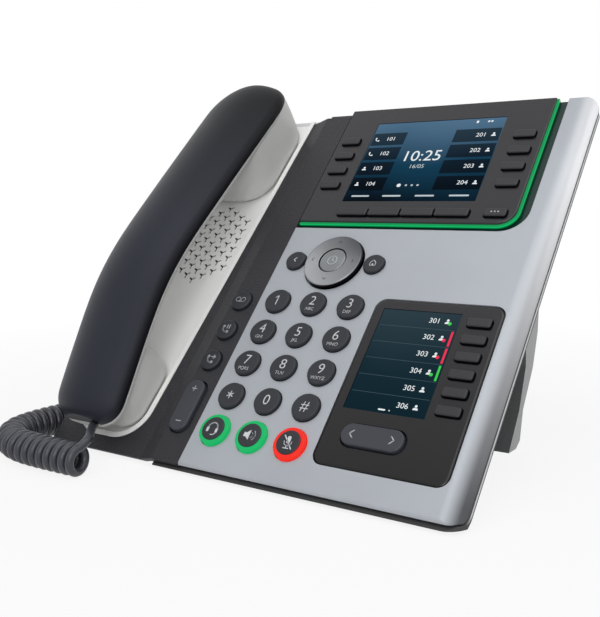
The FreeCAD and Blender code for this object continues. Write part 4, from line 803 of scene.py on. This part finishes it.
# Stage
def seen_ray(tree):
    """One for rays from the camera, in mirrors and through glass, and zero for the light on surfaces."""
    rays = node_of(tree, "ShaderNodeLightPath")
    first = node_of(tree, "ShaderNodeMath", operation="MAXIMUM")
    tree.links.new(rays.outputs["Is Camera Ray"], first.inputs[0])
    tree.links.new(rays.outputs["Is Glossy Ray"], first.inputs[1])
    both = node_of(tree, "ShaderNodeMath", operation="MAXIMUM")
    tree.links.new(first.outputs["Value"], both.inputs[0])
    tree.links.new(rays.outputs["Is Transmission Ray"], both.inputs[1])
    return both.outputs["Value"]


def studio():
    """A white floor that keeps a soft shadow near the phone, a white surround and three lamps."""
    floor_mesh = bpy.data.meshes.new("floor")
    reach = 12.0
    corners = [(-reach, -reach, 0), (reach, -reach, 0), (reach, reach, 0), (-reach, reach, 0)]
    floor_mesh.from_pydata(corners, [], [(0, 1, 2, 3)])
    floor = bpy.data.objects.new("floor", floor_mesh)
    bpy.context.collection.objects.link(floor)
    pale = bpy.data.materials.new("floor_white")
    pale.use_nodes = True
    tree = pale.node_tree
    shader = tree.nodes["Principled BSDF"]
    shader.inputs["Base Color"].default_value = (0.88, 0.88, 0.88, 1)
    shader.inputs["Roughness"].default_value = 0.8
    shader.inputs["Specular IOR Level"].default_value = 0.1
    white = node_of(tree, "ShaderNodeEmission")
    spot = node_of(tree, "ShaderNodeNewGeometry")
    away = node_of(tree, "ShaderNodeVectorMath", operation="LENGTH")
    tree.links.new(spot.outputs["Position"], away.inputs[0])
    share = node_of(tree, "ShaderNodeMapRange")
    share.inputs["From Min"].default_value = 0.16
    share.inputs["From Max"].default_value = 0.5
    share.inputs["To Min"].default_value = 0.86
    tree.links.new(away.outputs["Value"], share.inputs["Value"])
    part = node_of(tree, "ShaderNodeMath", operation="MULTIPLY")
    tree.links.new(share.outputs["Result"], part.inputs[0])
    tree.links.new(seen_ray(tree), part.inputs[1])
    blend = node_of(tree, "ShaderNodeMixShader")
    tree.links.new(part.outputs["Value"], blend.inputs["Fac"])
    tree.links.new(shader.outputs["BSDF"], blend.inputs[1])
    tree.links.new(white.outputs["Emission"], blend.inputs[2])
    tree.links.new(blend.outputs["Shader"], tree.nodes["Material Output"].inputs["Surface"])
    floor_mesh.materials.append(pale)
    world = bpy.data.worlds.new("studio")
    bpy.context.scene.world = world
    world.use_nodes = True
    tree = world.node_tree
    back = tree.nodes["Background"]
    strength = node_of(tree, "ShaderNodeMapRange")
    strength.inputs["To Min"].default_value = 0.34
    strength.inputs["To Max"].default_value = 1.0
    tree.links.new(seen_ray(tree), strength.inputs["Value"])
    tree.links.new(strength.outputs["Result"], back.inputs["Strength"])
    back.inputs["Color"].default_value = (1, 1, 1, 1)
    lamp("top_lamp", (0.15, -0.45, 1.2), 5.0, 0.9)
    lamp("right_lamp", (0.75, 0.15, 0.95), 1.2, 0.45)
    lamp("front_lamp", (0.6, -1.1, 0.45), 6.0, 0.8)


def lamp(name, spot, watts, width):
    """A soft square lamp that looks at the phone."""
    light = bpy.data.lights.new(name, "AREA")
    light.energy = watts
    light.size = width
    holder = bpy.data.objects.new(name, light)
    holder.location = spot
    holder.rotation_euler = (Vector((0, 0, 0.08)) - Vector(spot)).to_track_quat("-Z", "Y").to_euler()
    bpy.context.collection.objects.link(holder)


def camera():
    data = bpy.data.cameras.new("camera")
    data.lens = 51.08
    data.sensor_width = 36.0
    holder = bpy.data.objects.new("camera", data)
    holder.location = Vector((226.35, PANEL_FRONT - 268.6, 115.1)) * MM
    holder.rotation_euler = Vector((-0.563, 0.818, -0.119)).to_track_quat("-Z", "Y").to_euler()
    bpy.context.collection.objects.link(holder)
    bpy.context.scene.camera = holder


studio()
camera()
bpy.context.scene.view_settings.view_transform = "Standard"
